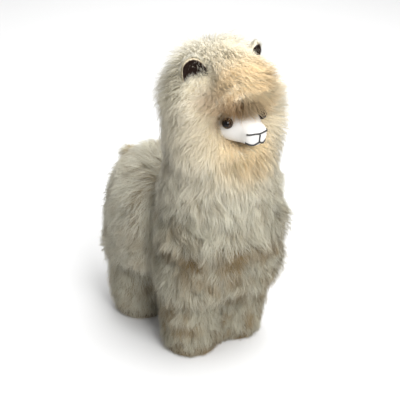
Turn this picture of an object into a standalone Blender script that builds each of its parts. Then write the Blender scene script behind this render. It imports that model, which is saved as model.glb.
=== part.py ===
"""Stuffed alpaca: a standing soft toy of long cream fur.

It has a smooth white muzzle, bead eyes, a stitched nose and mouth, and small ears lined in dark hide.

Metres, +Z up. The animal faces -Y and its left side is +X. The finished toy stands on Z = 0 with the middle
of its box over the origin. The fur is modelled as it looks from a step away: rows of pointed locks combed
downwards.
"""

import math
import random

import bmesh
import bpy
from mathutils import Matrix, Vector

# How closely sewn pieces lie against each other, and the angle past which an edge is shaded sharp
SEAM_GAP = 0.0003
CREASE_ANGLE = math.radians(50)

# Locks of fur
LOCK_WIDTH = 0.0175
LOCK_ROW = 0.0170
LOCK_LIFT = 0.0045
LOCK_DROP = 0.0075
LOCK_JITTER = 0.45
WHORL_RADIUS = 0.026
SHORN_SHARE = 0.15
CLEFT_LIFT = 0.2
CLEFT_RISE = 0.18
TUCK_SHARE = 0.35
WHORL_START = 0.12
HEM_DROP = 0.0095
HEM_THICKNESS = 0.0025
HEM_FLARE = 1.1
FUR_SEED = 7
COMB_ANGLE = 0.8
COMB_STEPS = 160
GIRTH_STEPS = 48
NORMAL_STEP = 0.02
SLOPE_SHARE = 0.004

# Widest part of the body, and how far it tucks in at the belly
BODY_HALF_WIDTH = 0.064
BELLY_TUCK = 0.001

# Rear body, from the belly up to the ridge of the back
BELLY_HEIGHT = 0.070
BELLY_HALF_WIDTH = BODY_HALF_WIDTH - BELLY_TUCK
BELLY_HALF_LENGTH = 0.079
TORSO_HEIGHT = 0.108
TORSO_HALF_WIDTH = BODY_HALF_WIDTH
TORSO_HALF_LENGTH = 0.083
TORSO_Y = 0.024
BACK_HEIGHT = 0.184
TORSO_FULLNESS = 2.3
HEM_SQUARENESS = 2.6
RIDGE_SHARE = 0.28

# The seam where the rear body meets the chest leans back from the belly to the withers
CHEST_SEAM_Y = -0.010
CHEST_SEAM_LEAN = math.radians(8)

# Chest and neck, one pelt from the belly to the head
CHEST_FOOT_HALF_WIDTH = BODY_HALF_WIDTH - BELLY_TUCK
CHEST_FOOT_HALF_DEPTH = 0.046
CHEST_FOOT_Y = -0.050
CHEST_HEIGHT = 0.120
CHEST_HALF_WIDTH = BODY_HALF_WIDTH
CHEST_HALF_DEPTH = 0.056
CHEST_Y = -0.053
NECK_HALF_WIDTH = 0.057
NECK_HALF_DEPTH = 0.051
NECK_Y = -0.057

# Head. The muzzle sets its height: the seam is below it, and the cheeks and the crown are above it
MUZZLE_HEIGHT = 0.2525
HEAD_SEAM_DROP = 0.0305
HEAD_SEAM_HEIGHT = MUZZLE_HEIGHT - HEAD_SEAM_DROP
HEAD_OVERHANG = 0.005
CHEEK_RISE = 0.0155
HEAD_HEIGHT = MUZZLE_HEIGHT + CHEEK_RISE
HEAD_HALF_WIDTH = 0.063
HEAD_HALF_DEPTH = 0.060
HEAD_Y = -0.058
CROWN_RISE = 0.062
CROWN_HEIGHT = HEAD_HEIGHT + CROWN_RISE
HEAD_FULLNESS = 2.1

# Legs, two and two, and their soles
LEG_X = 0.027
FRONT_LEG_Y = -0.044
REAR_LEG_Y = 0.046
FOOT_RADIUS = 0.025
CALF_HEIGHT = 0.030
CALF_RADIUS = 0.032
THIGH_RADIUS = 0.0305
LEG_PARTING = 0.0006
SOLE_THICKNESS = 0.0025
SOLE_POINTS = 24

# Tail, a tuft whose root is sewn into the rump
TAIL_DROP = 0.034
TAIL_HEIGHT = BACK_HEIGHT - TAIL_DROP
TAIL_TILT = math.radians(60)
TAIL_LENGTH = 0.032
TAIL_RADIUS = 0.021
TAIL_SEAM_SHARE = 0.72
TAIL_ROOT_RADIUS = 0.008
TAIL_ROOT_DEPTH = 0.008
TAIL_ROOT_OVERLAP = 0.00425
TAIL_ROOT_SIDES = 20
TAIL_SEAT_DEPTH = 0.003
TAIL_SEAT_SIDES = 28

# Muzzle, set in the hollow of the face
MUZZLE_BASE_Y = -0.079
MUZZLE_PITCH = math.radians(9)
MUZZLE_LENGTH = 0.0355
MUZZLE_BASE_HALF_WIDTH = 0.0225
MUZZLE_BASE_HALF_HEIGHT = 0.0165
NOSE_HALF_WIDTH = 0.0115
NOSE_HALF_HEIGHT = 0.0105
NOSE_ROUNDING = 0.007
MUZZLE_SQUARENESS = 2.4
MUZZLE_POINTS = 28
MUZZLE_RINGS = 6
NOSE_RING_ANGLES = (22, 42, 60, 76)
SKIN_STEP = 0.0002
SKIN_HALVINGS = 40
FACE_HALF_WIDTH = 0.055
FACE_HALF_HEIGHT = 0.031
FACE_DEPTH = 0.034
FACE_HOLLOWNESS = 1.0
SHORN_FACE_RADIUS = 0.037

# Bead eyes, sunk by part of their depth in the sides of the muzzle
EYE_RADIUS = 0.0053
EYE_ALONG = 0.012
EYE_RISE = math.radians(27)
EYE_SINK = 0.0022
EYE_SEGMENTS = 16
EYE_RINGS = 10

# Ears, a cupped pelt with a dark lining on its front
EAR_X = 0.0275
EAR_Y = -0.054
EAR_DROP = 0.040
EAR_HEIGHT = CROWN_HEIGHT - EAR_DROP
EAR_LENGTH = 0.031
EAR_HALF_WIDTH = 0.0130
EAR_FOOT_SHARE = 0.66
EAR_WIDENING = 1.7
EAR_ROUNDNESS = 2.6
EAR_TIP_SHARE = 0.02
EAR_CUP = 0.0060
EAR_CURL_SHARE = 0.35
EAR_ROWS = 7
EAR_COLUMNS = 6
EAR_THICKNESS = 0.0020
LINING_THICKNESS = 0.0010
LINING_MARGIN = 0.0016
EAR_SPLAY = math.radians(24)
EAR_TURN = math.radians(24)
EAR_LEAN = math.radians(8)

# The hollow in front of each ear, where the fur is parted
PARTING_X = 0.041
PARTING_Y = -0.077
PARTING_DROP = 0.026
PARTING_RADIUS = 0.032
PARTING_DEPTH = 0.026

# Embroidery thread of the nose and mouth. The stitches are seen from the front, as a side and a share of the
# nose's half width and half height
THREAD_RADIUS = 0.0005
THREAD_LIFT = 0.0004
NOSE_STITCHES = ((-1, 0.93, 0.34), (-1, 0.5, 0.47), (0, 0.0, 0.44), (1, 0.5, 0.47), (1, 0.93, 0.34))
MOUTH_STITCHES = ((-1, 0.90, -0.50), (-1, 0.45, -0.62), (0, 0.0, -0.42), (1, 0.45, -0.62), (1, 0.90, -0.50))

FUR_CREAM = (0.72, 0.66, 0.52)
CROWN_CREAM = (0.76, 0.67, 0.50)
MUZZLE_WHITE = (0.86, 0.84, 0.80)
BEAD_BROWN = (0.02, 0.012, 0.008)
LINING_BROWN = (0.045, 0.025, 0.018)
THREAD_BLACK = (0.012, 0.012, 0.012)
SOLE_TAN = (0.30, 0.24, 0.17)


def material(name, colour, roughness, metallic=0.0):
    """A plain Principled material, made once for each name."""
    found = bpy.data.materials.get(name)
    if found:
        return found
    made = bpy.data.materials.new(name)
    made.use_nodes = True
    shader = made.node_tree.nodes["Principled BSDF"]
    shader.inputs["Base Color"].default_value = (*colour, 1.0)
    shader.inputs["Roughness"].default_value = roughness
    shader.inputs["Metallic"].default_value = metallic
    return made


def add_object(name, mesh, finish, parent):
    """Puts a bmesh into the scene as one named object with one material."""
    bmesh.ops.recalc_face_normals(mesh, faces=mesh.faces)
    data = bpy.data.meshes.new(name)
    mesh.to_mesh(data)
    mesh.free()
    data.shade_smooth()
    data.set_sharp_from_angle(angle=CREASE_ANGLE)
    made = bpy.data.objects.new(name, data)
    bpy.context.scene.collection.objects.link(made)
    made.parent = parent
    if finish:
        data.materials.append(finish)
    return made


def cut_away(target, cutter):
    """Subtracts a closed cutter, which stays in the file as a hidden wire guide."""
    cutter.hide_render = True
    cutter.display_type = "WIRE"
    cut = target.modifiers.new("cut by " + cutter.name, "BOOLEAN")
    cut.operation = "DIFFERENCE"
    cut.solver = "EXACT"
    cut.object = cutter


def bridge(mesh, rings):
    """Joins neighbouring rings of equal count with quads."""
    for upper, lower in zip(rings, rings[1:]):
        count = len(upper)
        for i in range(count):
            j = (i + 1) % count
            mesh.faces.new((upper[i], upper[j], lower[j], lower[i]))


def close_end(mesh, ring, apex):
    """Closes a ring with a fan of triangles to one point."""
    tip = mesh.verts.new(apex)
    count = len(ring)
    for i in range(count):
        mesh.faces.new((ring[i], ring[(i + 1) % count], tip))


def ease(low, high, share):
    """A smooth step from low to high as share goes from 0 to 1."""
    share = min(max(share, 0.0), 1.0)
    return low + (high - low) * share * share * (3 - 2 * share)


def dome(share, fullness):
    """How wide a dome is at this share of its height, from 1 at the foot to 0 at the top."""
    return max(0.0, 1 - min(share, 1.0) ** fullness) ** (1 / fullness)


def oval(angle, half_x, half_y, squareness=2.0):
    """A point of a rounded oval, an ellipse when squareness is 2."""
    c, s = math.cos(angle), math.sin(angle)
    reach = (abs(c) ** squareness + abs(s) ** squareness) ** (-1 / squareness)
    return half_x * c * reach, half_y * s * reach


def torso_form(z, angle):
    """The rear body: a loaf, widest above the belly, whose sides meet in the ridge of the back."""
    if z < TORSO_HEIGHT:
        share = (z - BELLY_HEIGHT) / (TORSO_HEIGHT - BELLY_HEIGHT)
        half_x = ease(BELLY_HALF_WIDTH, TORSO_HALF_WIDTH, share)
        half_y = ease(BELLY_HALF_LENGTH, TORSO_HALF_LENGTH, share)
        squareness = ease(HEM_SQUARENESS, 2.0, share)
    else:
        squareness = 2.0
        width = dome((z - TORSO_HEIGHT) / (BACK_HEIGHT - TORSO_HEIGHT), TORSO_FULLNESS)
        half_x = TORSO_HALF_WIDTH * width
        half_y = TORSO_HALF_LENGTH * (RIDGE_SHARE + (1 - RIDGE_SHARE) * width)
    x, y = oval(angle, half_x, half_y, squareness)
    return Vector((x, y + TORSO_Y, z))


def neck_form(z, angle):
    """Chest and neck: a column that swells at the chest and tucks in under it."""
    if z < CHEST_HEIGHT:
        share = (z - BELLY_HEIGHT) / (CHEST_HEIGHT - BELLY_HEIGHT)
        half_x = ease(CHEST_FOOT_HALF_WIDTH, CHEST_HALF_WIDTH, share)
        half_y = ease(CHEST_FOOT_HALF_DEPTH, CHEST_HALF_DEPTH, share)
        middle = ease(CHEST_FOOT_Y, CHEST_Y, share)
        squareness = ease(HEM_SQUARENESS, 2.0, share)
    else:
        squareness = 2.0
        share = (z - CHEST_HEIGHT) / (HEAD_SEAM_HEIGHT - CHEST_HEIGHT)
        half_x = ease(CHEST_HALF_WIDTH, NECK_HALF_WIDTH, share)
        half_y = ease(CHEST_HALF_DEPTH, NECK_HALF_DEPTH, share)
        middle = ease(CHEST_Y, NECK_Y, share)
    x, y = oval(angle, half_x, half_y, squareness)
    return Vector((x, y + middle, z))


def head_form(z, angle):
    """The head: it overhangs the neck, is fullest at the cheeks and domed at the crown.

    The face is set in a hollow, and the fur is parted in a smaller one in front of each ear.
    """
    if z < HEAD_HEIGHT:
        share = (z - HEAD_SEAM_HEIGHT) / (HEAD_HEIGHT - HEAD_SEAM_HEIGHT)
        half_x = ease(NECK_HALF_WIDTH + HEAD_OVERHANG, HEAD_HALF_WIDTH, share)
        half_y = ease(NECK_HALF_DEPTH + HEAD_OVERHANG, HEAD_HALF_DEPTH, share)
        middle = ease(NECK_Y, HEAD_Y, share)
    else:
        width = dome((z - HEAD_HEIGHT) / (CROWN_HEIGHT - HEAD_HEIGHT), HEAD_FULLNESS)
        half_x, half_y, middle = HEAD_HALF_WIDTH * width, HEAD_HALF_DEPTH * width, HEAD_Y
    x, y = oval(angle, half_x, half_y)
    if y < 0:
        away = (x / FACE_HALF_WIDTH) ** 2 + ((z - MUZZLE_HEIGHT) / FACE_HALF_HEIGHT) ** 2
        y += FACE_DEPTH * max(0.0, 1 - away) ** FACE_HOLLOWNESS
    point = Vector((x, y + middle, z))
    inward = (Vector((0, HEAD_Y, HEAD_HEIGHT)) - point).normalized()
    spot = Vector((math.copysign(PARTING_X, x), PARTING_Y, CROWN_HEIGHT - PARTING_DROP))
    away = (point - spot).length / PARTING_RADIUS
    return point + inward * PARTING_DEPTH * max(0.0, 1 - away**2) ** 2


def leg_radius(z):
    """The radius of a leg at a height, from the rounded foot up to the thigh."""
    if z < CALF_HEIGHT:
        share = (z - SOLE_THICKNESS) / (CALF_HEIGHT - SOLE_THICKNESS)
        return FOOT_RADIUS + (CALF_RADIUS - FOOT_RADIUS) * math.sin(share * math.pi / 2)
    return ease(CALF_RADIUS, THIGH_RADIUS, (z - CALF_HEIGHT) / (BELLY_HEIGHT - CALF_HEIGHT))


def keep_to_corner(point, leg_y):
    """Holds a point of a left leg in its own corner: the legs press flat against each other in the middle."""
    middle = (FRONT_LEG_Y + REAR_LEG_Y) / 2
    if leg_y > middle:
        along = max(point.y, middle + LEG_PARTING / 2)
    else:
        along = min(point.y, middle - LEG_PARTING / 2)
    return Vector((max(point.x, LEG_PARTING / 2), along, point.z))


def leg_form(leg_y):
    """The shape of a left leg as a function of height and angle."""

    def form(z, angle):
        x, y = oval(angle, leg_radius(z), leg_radius(z))
        return keep_to_corner(Vector((LEG_X + x, leg_y + y, z)), leg_y)

    return form


def tail_form(z, angle):
    """The tail's tuft about its own axis, from its seat at 0 to its tip."""
    share = z / TAIL_LENGTH
    widening = math.sin(min(share * 2, 1.0) * math.pi / 2)
    radius = TAIL_RADIUS * (TAIL_SEAM_SHARE + (1 - TAIL_SEAM_SHARE) * widening) * dome(share, 2.0)
    return Vector((*oval(angle, radius, radius), z))


def comb_heights(form, low, high):
    """Heights from high to low where rows of locks end, spaced evenly along the surface."""
    heights = [high - (high - low) * (i / COMB_STEPS) ** 2 for i in range(COMB_STEPS + 1)]
    walk = [0.0]
    for upper, lower in zip(heights, heights[1:]):
        walk.append(walk[-1] + (form(upper, COMB_ANGLE) - form(lower, COMB_ANGLE)).length)
    rows = max(2, round(walk[-1] / LOCK_ROW))
    found = []
    for row in range(1, rows + 1):
        wanted = walk[-1] * row / rows
        at = next(i for i, length in enumerate(walk) if length >= wanted - 1e-9)
        found.append(heights[at])
    return found


def girth(form, z):
    """The length around a form at a height."""
    points = [form(z, math.tau * i / GIRTH_STEPS) for i in range(GIRTH_STEPS)]
    return sum((point - points[i - 1]).length for i, point in enumerate(points))


def shaggy_mesh(form, low, high, seed, flat_top=False, hem=False, keep=None, shorn=()):
    """A closed solid covered in overlapping rows of pointed locks, combed from high to low.

    Each row ends in a zigzag: the tips of its locks stand off the surface and hang over the next row, and
    the clefts between them draw back. Locks of neighbouring rows are staggered, and the left side mirrors the
    right. A flat top is a seam with the piece above, and a hem is a last row of locks that hangs over the
    piece below. Keep holds each point on this piece's own side of its neighbours. Shorn gives spots, each
    with the distance within which the fur lies flat.
    """
    keep = keep or (lambda point: point)
    dice = random.Random(FUR_SEED * 100 + seed)
    locks = 2 * max(3, round(girth(form, (low + high) / 2) / LOCK_WIDTH / 2))
    count = 2 * locks
    angles = [math.tau * i / count for i in range(count)]
    reach = (high - low) * SLOPE_SHARE

    def surface(z, angle):
        """The surface point with its outward normal and its downward direction."""
        upper, lower = min(z + reach, high), max(z - reach, low)
        down = (form(lower, angle) - form(upper, angle)).normalized()
        around = (form(z, angle + NORMAL_STEP) - form(z, angle - NORMAL_STEP)).normalized()
        return form(z, angle), around.cross(-down), down

    mesh = bmesh.new()
    rows = comb_heights(form, low, high)
    start = high if flat_top else high - (high - rows[0]) * WHORL_START
    rings = [[mesh.verts.new(form(start, angle)) for angle in angles]]
    for row, z in enumerate(rows):
        last = row == len(rows) - 1
        whorl = min(1.0, girth(form, z) / math.tau / WHORL_RADIUS)
        sizes = [1 + LOCK_JITTER * (dice.random() * 2 - 1) for _ in angles]
        tips, roots = [], []
        for i, angle in enumerate(angles):
            point, outward, down = surface(z, angle)
            size = sizes[min(i, (locks - i) % count)]
            length = SHORN_SHARE if any((point - spot).length < near for spot, near in shorn) else 1
            lift = LOCK_LIFT * whorl * length
            hangs = (i + row) % 2 == 0
            if last and not hem:
                tips.append(mesh.verts.new(keep(point)))
                continue
            if last:
                level = Vector((outward.x, outward.y, 0)).normalized()
                tip = point + (level * lift * HEM_FLARE + Vector((0, 0, -HEM_DROP * size))) * hangs
                roots.append(mesh.verts.new(point - level * HEM_THICKNESS))
            elif hangs:
                tip = point + outward * (lift * size) + down * (LOCK_DROP * length * size)
            else:
                tip = point + outward * (lift * CLEFT_LIFT) - down * (LOCK_ROW * CLEFT_RISE * length * size)
            tips.append(mesh.verts.new(keep(tip)))
            if not last:
                roots.append(mesh.verts.new(keep(point - outward * (lift * TUCK_SHARE))))
        rings.append(tips)
        if roots:
            rings.append(roots)
    bridge(mesh, rings)
    for ring, level in ((rings[0], high), (rings[-1], low)):
        centre = sum((vert.co for vert in ring), Vector()) / count
        centre.z = level
        close_end(mesh, ring, centre)
    return mesh


def block(name, size, centre, tilt, parent):
    """A box cutter turned about X and centred on a point."""
    mesh = bmesh.new()
    bmesh.ops.create_cube(mesh, size=size)
    made = add_object(name, mesh, None, parent)
    made.location = centre
    made.rotation_euler = (tilt, 0, 0)
    return made


def turned(profile, segments):
    """A solid of revolution about Z, from (radius, z) points listed down the outer side, with flat ends."""
    mesh = bmesh.new()
    rings = []
    for radius, z in profile:
        rings.append(
            [
                mesh.verts.new((radius * math.cos(a), radius * math.sin(a), z))
                for a in (math.tau * i / segments for i in range(segments))
            ]
        )
    bridge(mesh, rings)
    close_end(mesh, rings[0], (0, 0, profile[0][1]))
    close_end(mesh, rings[-1], (0, 0, profile[-1][1]))
    return mesh


def build_body(parent, fur):
    """The rear body and the chest with its neck, cut to one leaning seam."""
    torso = add_object(
        "torso",
        shaggy_mesh(
            torso_form,
            BELLY_HEIGHT,
            BACK_HEIGHT,
            seed=1,
            hem=True,
            shorn=[(torso_form(TAIL_HEIGHT, math.pi / 2), TAIL_RADIUS)],
        ),
        fur,
        parent,
    )
    neck = add_object(
        "neck",
        shaggy_mesh(neck_form, BELLY_HEIGHT, HEAD_SEAM_HEIGHT - SEAM_GAP, seed=2, flat_top=True, hem=True),
        fur,
        parent,
    )
    cutter = 2 * BACK_HEIGHT
    along = Vector((0, math.cos(CHEST_SEAM_LEAN), -math.sin(CHEST_SEAM_LEAN)))
    foot = Vector((0, CHEST_SEAM_Y, BELLY_HEIGHT))
    ahead = block("seam_guide_ahead", cutter, foot - along * (cutter / 2), -CHEST_SEAM_LEAN, parent)
    behind = block(
        "seam_guide_behind", cutter, foot + along * (cutter / 2 - SEAM_GAP), -CHEST_SEAM_LEAN, parent
    )
    cut_away(torso, ahead)
    cut_away(neck, behind)
    return torso, neck


def build_legs(parent, fur, hide):
    """Four stubby legs, closed flat under the belly, each with the flat sole sewn under its foot."""
    low, high = SOLE_THICKNESS + SEAM_GAP, BELLY_HEIGHT - SEAM_GAP
    for seed, (end, leg_y) in enumerate((("front", FRONT_LEG_Y), ("rear", REAR_LEG_Y)), start=4):
        form = leg_form(leg_y)
        for side, label in ((1, "left"), (-1, "right")):
            pelt = shaggy_mesh(
                form, low, high, seed, flat_top=True, keep=lambda point, y=leg_y: keep_to_corner(point, y)
            )
            sole = bmesh.new()
            outline = [form(low, math.tau * i / SOLE_POINTS) for i in range(SOLE_POINTS)]
            rings = [[sole.verts.new((p.x, p.y, z)) for p in outline] for z in (SOLE_THICKNESS, 0.0)]
            bridge(sole, rings)
            for ring in rings:
                sole.faces.new(ring)
            for mesh in (pelt, sole):
                bmesh.ops.scale(mesh, vec=(side, 1, 1), verts=mesh.verts)
            add_object(f"leg_{end}_{label}", pelt, fur, parent)
            add_object(f"sole_{end}_{label}", sole, hide, parent)


def build_tail(parent, fur, torso):
    """The tail's tuft with its root, seated in a shallow spot sunk in the rump."""
    surface = torso_form(TAIL_HEIGHT, math.pi / 2)
    tilt = Matrix.Rotation(-TAIL_TILT, 4, "X")
    seat = Matrix.Translation(surface) @ tilt @ Matrix.Translation((0, 0, -TAIL_SEAT_DEPTH))
    tuft = add_object("tail", shaggy_mesh(tail_form, 0.0, TAIL_LENGTH, seed=9), fur, parent)
    root = turned(
        [(TAIL_ROOT_RADIUS, TAIL_ROOT_OVERLAP), (TAIL_ROOT_RADIUS, -TAIL_ROOT_DEPTH)], TAIL_ROOT_SIDES
    )
    root_guide = add_object("tail_root_guide", root, None, parent)
    join = tuft.modifiers.new("root", "BOOLEAN")
    join.operation = "UNION"
    join.object = root_guide
    root_guide.hide_render = True
    root_guide.display_type = "WIRE"
    wide = TAIL_RADIUS + LOCK_LIFT * 2
    narrow = TAIL_ROOT_RADIUS + SEAM_GAP
    spot = turned(
        [(wide, TAIL_LENGTH), (wide, -SEAM_GAP), (narrow, -SEAM_GAP), (narrow, -TAIL_ROOT_DEPTH - SEAM_GAP)],
        TAIL_SEAT_SIDES,
    )
    spot_guide = add_object("tail_seat_guide", spot, None, parent)
    for thing in (tuft, root_guide, spot_guide):
        thing.matrix_local = seat
    cut_away(torso, spot_guide)


def muzzle_frame():
    """From the muzzle's own axes, with its length along +Z and its crown along +Y, to the animal."""
    forward = Vector((0, -math.cos(MUZZLE_PITCH), -math.sin(MUZZLE_PITCH)))
    across = Vector((1, 0, 0))
    upward = forward.cross(across)
    turn = Matrix((across, upward, forward)).transposed().to_4x4()
    return Matrix.Translation((0, MUZZLE_BASE_Y, MUZZLE_HEIGHT)) @ turn


def muzzle_section(along):
    """Half the width and half the height of the muzzle at a distance from its base."""
    straight = MUZZLE_LENGTH - NOSE_ROUNDING
    share = min(along / straight, 1.0)
    half_x = ease(MUZZLE_BASE_HALF_WIDTH, NOSE_HALF_WIDTH, share)
    half_y = ease(MUZZLE_BASE_HALF_HEIGHT, NOSE_HALF_HEIGHT, share)
    if along > straight:
        width = dome((along - straight) / NOSE_ROUNDING, 2.0)
        half_x, half_y = half_x - NOSE_ROUNDING * (1 - width), half_y - NOSE_ROUNDING * (1 - width)
    return half_x, half_y


def muzzle_point(along, angle):
    """A point on the muzzle's skin in its own axes."""
    return Vector((*oval(angle, *muzzle_section(along), MUZZLE_SQUARENESS), along))


def nose_point(x, y, lift):
    """The point of the muzzle's skin seen from the front at (x, y), raised off the skin by lift."""

    def depth(x, y):
        near, far = 0.0, MUZZLE_LENGTH
        for _ in range(SKIN_HALVINGS):
            middle = (near + far) / 2
            half_x, half_y = muzzle_section(middle)
            outside = abs(x / half_x) ** MUZZLE_SQUARENESS + abs(y / half_y) ** MUZZLE_SQUARENESS > 1
            near, far = (near, middle) if outside else (middle, far)
        return near

    step = SKIN_STEP
    slope = ((depth(x + step, y) - depth(x - step, y)) / 2, (depth(x, y + step) - depth(x, y - step)) / 2)
    outward = Vector((-slope[0], -slope[1], step)).normalized()
    return Vector((x, y, depth(x, y))) + outward * lift


def muzzle_mesh(spare=0.0):
    """The muzzle's skin as rings along its length, with a flat base and a rounded nose, and grown by spare."""
    mesh = bmesh.new()
    straight = MUZZLE_LENGTH - NOSE_ROUNDING
    stops = [straight * i / MUZZLE_RINGS for i in range(MUZZLE_RINGS + 1)]
    stops += [straight + NOSE_ROUNDING * math.sin(math.radians(a)) for a in NOSE_RING_ANGLES]
    rings = []
    for stop in stops:
        points = [muzzle_point(stop, math.tau * i / MUZZLE_POINTS) for i in range(MUZZLE_POINTS)]
        aside = [Vector((point.x, point.y, 0)).normalized() * spare for point in points]
        level = Vector((0, 0, -spare if stop == 0 else spare * stop / MUZZLE_LENGTH))
        rings.append([mesh.verts.new(point + out + level) for point, out in zip(points, aside)])
    bridge(mesh, rings)
    close_end(mesh, rings[0], (0, 0, -spare))
    close_end(mesh, rings[-1], (0, 0, MUZZLE_LENGTH + spare))
    return mesh


def build_face(parent, head, hide, bead, thread):
    """The muzzle in its pocket, the two eyes sunk in its sides, and the stitched nose and mouth."""
    place = muzzle_frame()
    muzzle = add_object("muzzle", muzzle_mesh(), hide, parent)
    muzzle.matrix_local = place

    pocket = add_object("muzzle_pocket_guide", muzzle_mesh(SEAM_GAP), None, parent)
    pocket.matrix_local = place
    cut_away(head, pocket)

    for side, label in ((-1, "right"), (1, "left")):
        angle = EYE_RISE if side > 0 else math.pi - EYE_RISE
        skin = muzzle_point(EYE_ALONG, angle)
        outward = Vector((math.cos(angle), math.sin(angle), 0))
        centre = skin + outward * (EYE_RADIUS - EYE_SINK)
        for kind, radius in (("eye_", EYE_RADIUS), ("socket_guide_", EYE_RADIUS + SEAM_GAP)):
            ball = bmesh.new()
            bmesh.ops.create_uvsphere(ball, u_segments=EYE_SEGMENTS, v_segments=EYE_RINGS, radius=radius)
            made = add_object(kind + label, ball, bead if kind == "eye_" else None, parent)
            made.matrix_local = place @ Matrix.Translation(centre)
        cut_away(muzzle, made)
        cut_away(head, made)

    nose = [(side * NOSE_HALF_WIDTH * x, NOSE_HALF_HEIGHT * y) for side, x, y in NOSE_STITCHES]
    mouth = [(side * NOSE_HALF_WIDTH * x, NOSE_HALF_HEIGHT * y) for side, x, y in MOUTH_STITCHES]
    clear = 2 * THREAD_RADIUS + SEAM_GAP
    middle = len(nose) // 2
    lip = [(0.0, nose[middle][1] - clear), (0.0, mouth[middle][1] + clear)]
    for name, stitches in (("nose_stitch", nose), ("lip_stitch", lip), ("mouth_stitch", mouth)):
        run = smooth_run([Vector(stitch) for stitch in stitches])
        path = [nose_point(spot.x, spot.y, THREAD_RADIUS + THREAD_LIFT) for spot in run]
        add_thread(name, path, place, thread, parent)


def smooth_run(points, pieces=5):
    """Points of a smooth curve through the given ones."""
    path = []
    last = len(points) - 1
    for i in range(last):
        before, start = points[max(i - 1, 0)], points[i]
        end, after = points[i + 1], points[min(i + 2, last)]
        for k in range(pieces):
            t = k / pieces
            path.append(
                0.5
                * (
                    2 * start
                    + (end - before) * t
                    + (2 * before - 5 * start + 4 * end - after) * t**2
                    + (3 * start - before - 3 * end + after) * t**3
                )
            )
    path.append(points[-1].copy())
    return path


def add_thread(name, run, place, finish, parent):
    """A run of round thread laid on the muzzle's skin."""
    curve = bpy.data.curves.new(name, "CURVE")
    curve.dimensions = "3D"
    curve.bevel_depth = THREAD_RADIUS
    curve.bevel_resolution = 1
    curve.use_fill_caps = True
    spline = curve.splines.new("POLY")
    spline.points.add(len(run) - 1)
    for point, spot in zip(spline.points, run):
        point.co = (*spot, 1.0)
    curve.materials.append(finish)
    made = bpy.data.objects.new(name, curve)
    bpy.context.scene.collection.objects.link(made)
    made.parent = parent
    made.matrix_local = place


def ear_leaf(length, half_width, behind, thickness, foot=0.0):
    """A cupped leaf, rounded at the tip, in its own axes: length along +Z, its hollow facing -Y."""
    mesh = bmesh.new()
    rows, columns = EAR_ROWS, EAR_COLUMNS
    faces = []
    for depth in (behind, behind - thickness):
        grid = []
        for r in range(rows + 1):
            rise = math.sin(r / rows * math.pi / 2)
            height = foot + (length - foot) * rise
            widening = math.sin(min(rise * EAR_WIDENING, 1.0) * math.pi / 2)
            share = (EAR_FOOT_SHARE + (1 - EAR_FOOT_SHARE) * widening) * dome(rise, EAR_ROUNDNESS)
            wide = half_width * max(share, EAR_TIP_SHARE)
            line = []
            for c in range(columns + 1):
                across = -1 + 2 * c / columns
                x = wide * across
                y = depth - EAR_CUP * (x / EAR_HALF_WIDTH) ** 2 - EAR_CUP * EAR_CURL_SHARE * rise**2
                line.append(mesh.verts.new((x, y, height)))
            grid.append(line)
        faces.append(grid)
    back, front = faces
    for r in range(rows):
        for c in range(columns):
            mesh.faces.new((back[r][c], back[r][c + 1], back[r + 1][c + 1], back[r + 1][c]))
            mesh.faces.new((front[r][c], front[r + 1][c], front[r + 1][c + 1], front[r][c + 1]))
        mesh.faces.new((back[r][0], back[r + 1][0], front[r + 1][0], front[r][0]))
        mesh.faces.new((back[r][columns], front[r][columns], front[r + 1][columns], back[r + 1][columns]))
    for c in range(columns):
        mesh.faces.new((back[0][c], front[0][c], front[0][c + 1], back[0][c + 1]))
        mesh.faces.new((back[rows][c], back[rows][c + 1], front[rows][c + 1], front[rows][c]))
    return mesh


def build_ears(parent, head, fur, lining):
    """Each ear's pelt with the dark lining in its hollow, in a slot in the parted fur."""
    for side, label in ((-1, "right"), (1, "left")):
        place = (
            Matrix.Translation((side * EAR_X, EAR_Y, EAR_HEIGHT))
            @ Matrix.Rotation(side * EAR_SPLAY, 4, "Y")
            @ Matrix.Rotation(side * EAR_TURN, 4, "Z")
            @ Matrix.Rotation(EAR_LEAN, 4, "X")
        )
        pelt = ear_leaf(EAR_LENGTH, EAR_HALF_WIDTH, EAR_THICKNESS, EAR_THICKNESS)
        add_object("ear_" + label, pelt, fur, parent).matrix_local = place
        inner = ear_leaf(
            EAR_LENGTH - LINING_MARGIN,
            EAR_HALF_WIDTH - LINING_MARGIN,
            -SEAM_GAP,
            LINING_THICKNESS,
            foot=LINING_MARGIN,
        )
        add_object("ear_lining_" + label, inner, lining, parent).matrix_local = place
        spare = SEAM_GAP * 2
        slot = ear_leaf(
            EAR_LENGTH + spare,
            EAR_HALF_WIDTH + spare,
            EAR_THICKNESS + spare,
            EAR_THICKNESS + LINING_THICKNESS + SEAM_GAP + spare * 2,
            foot=-spare,
        )
        guide = add_object("ear_slot_guide_" + label, slot, None, parent)
        guide.matrix_local = place
        cut_away(head, guide)


def stand_on_origin(root):
    """Moves the whole toy so that the middle of its box is over the origin and its soles are on Z = 0."""
    bpy.context.view_layer.update()
    graph = bpy.context.evaluated_depsgraph_get()
    points = []
    for thing in root.children_recursive:
        if thing.hide_render:
            continue
        seen = thing.evaluated_get(graph)
        points += [seen.matrix_world @ vert.co for vert in seen.to_mesh().vertices]
        seen.to_mesh_clear()
    for axis in (0, 1):
        values = [point[axis] for point in points]
        root.location[axis] -= (min(values) + max(values)) / 2
    root.location[2] -= min(point.z for point in points)
    bpy.context.view_layer.update()


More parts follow.
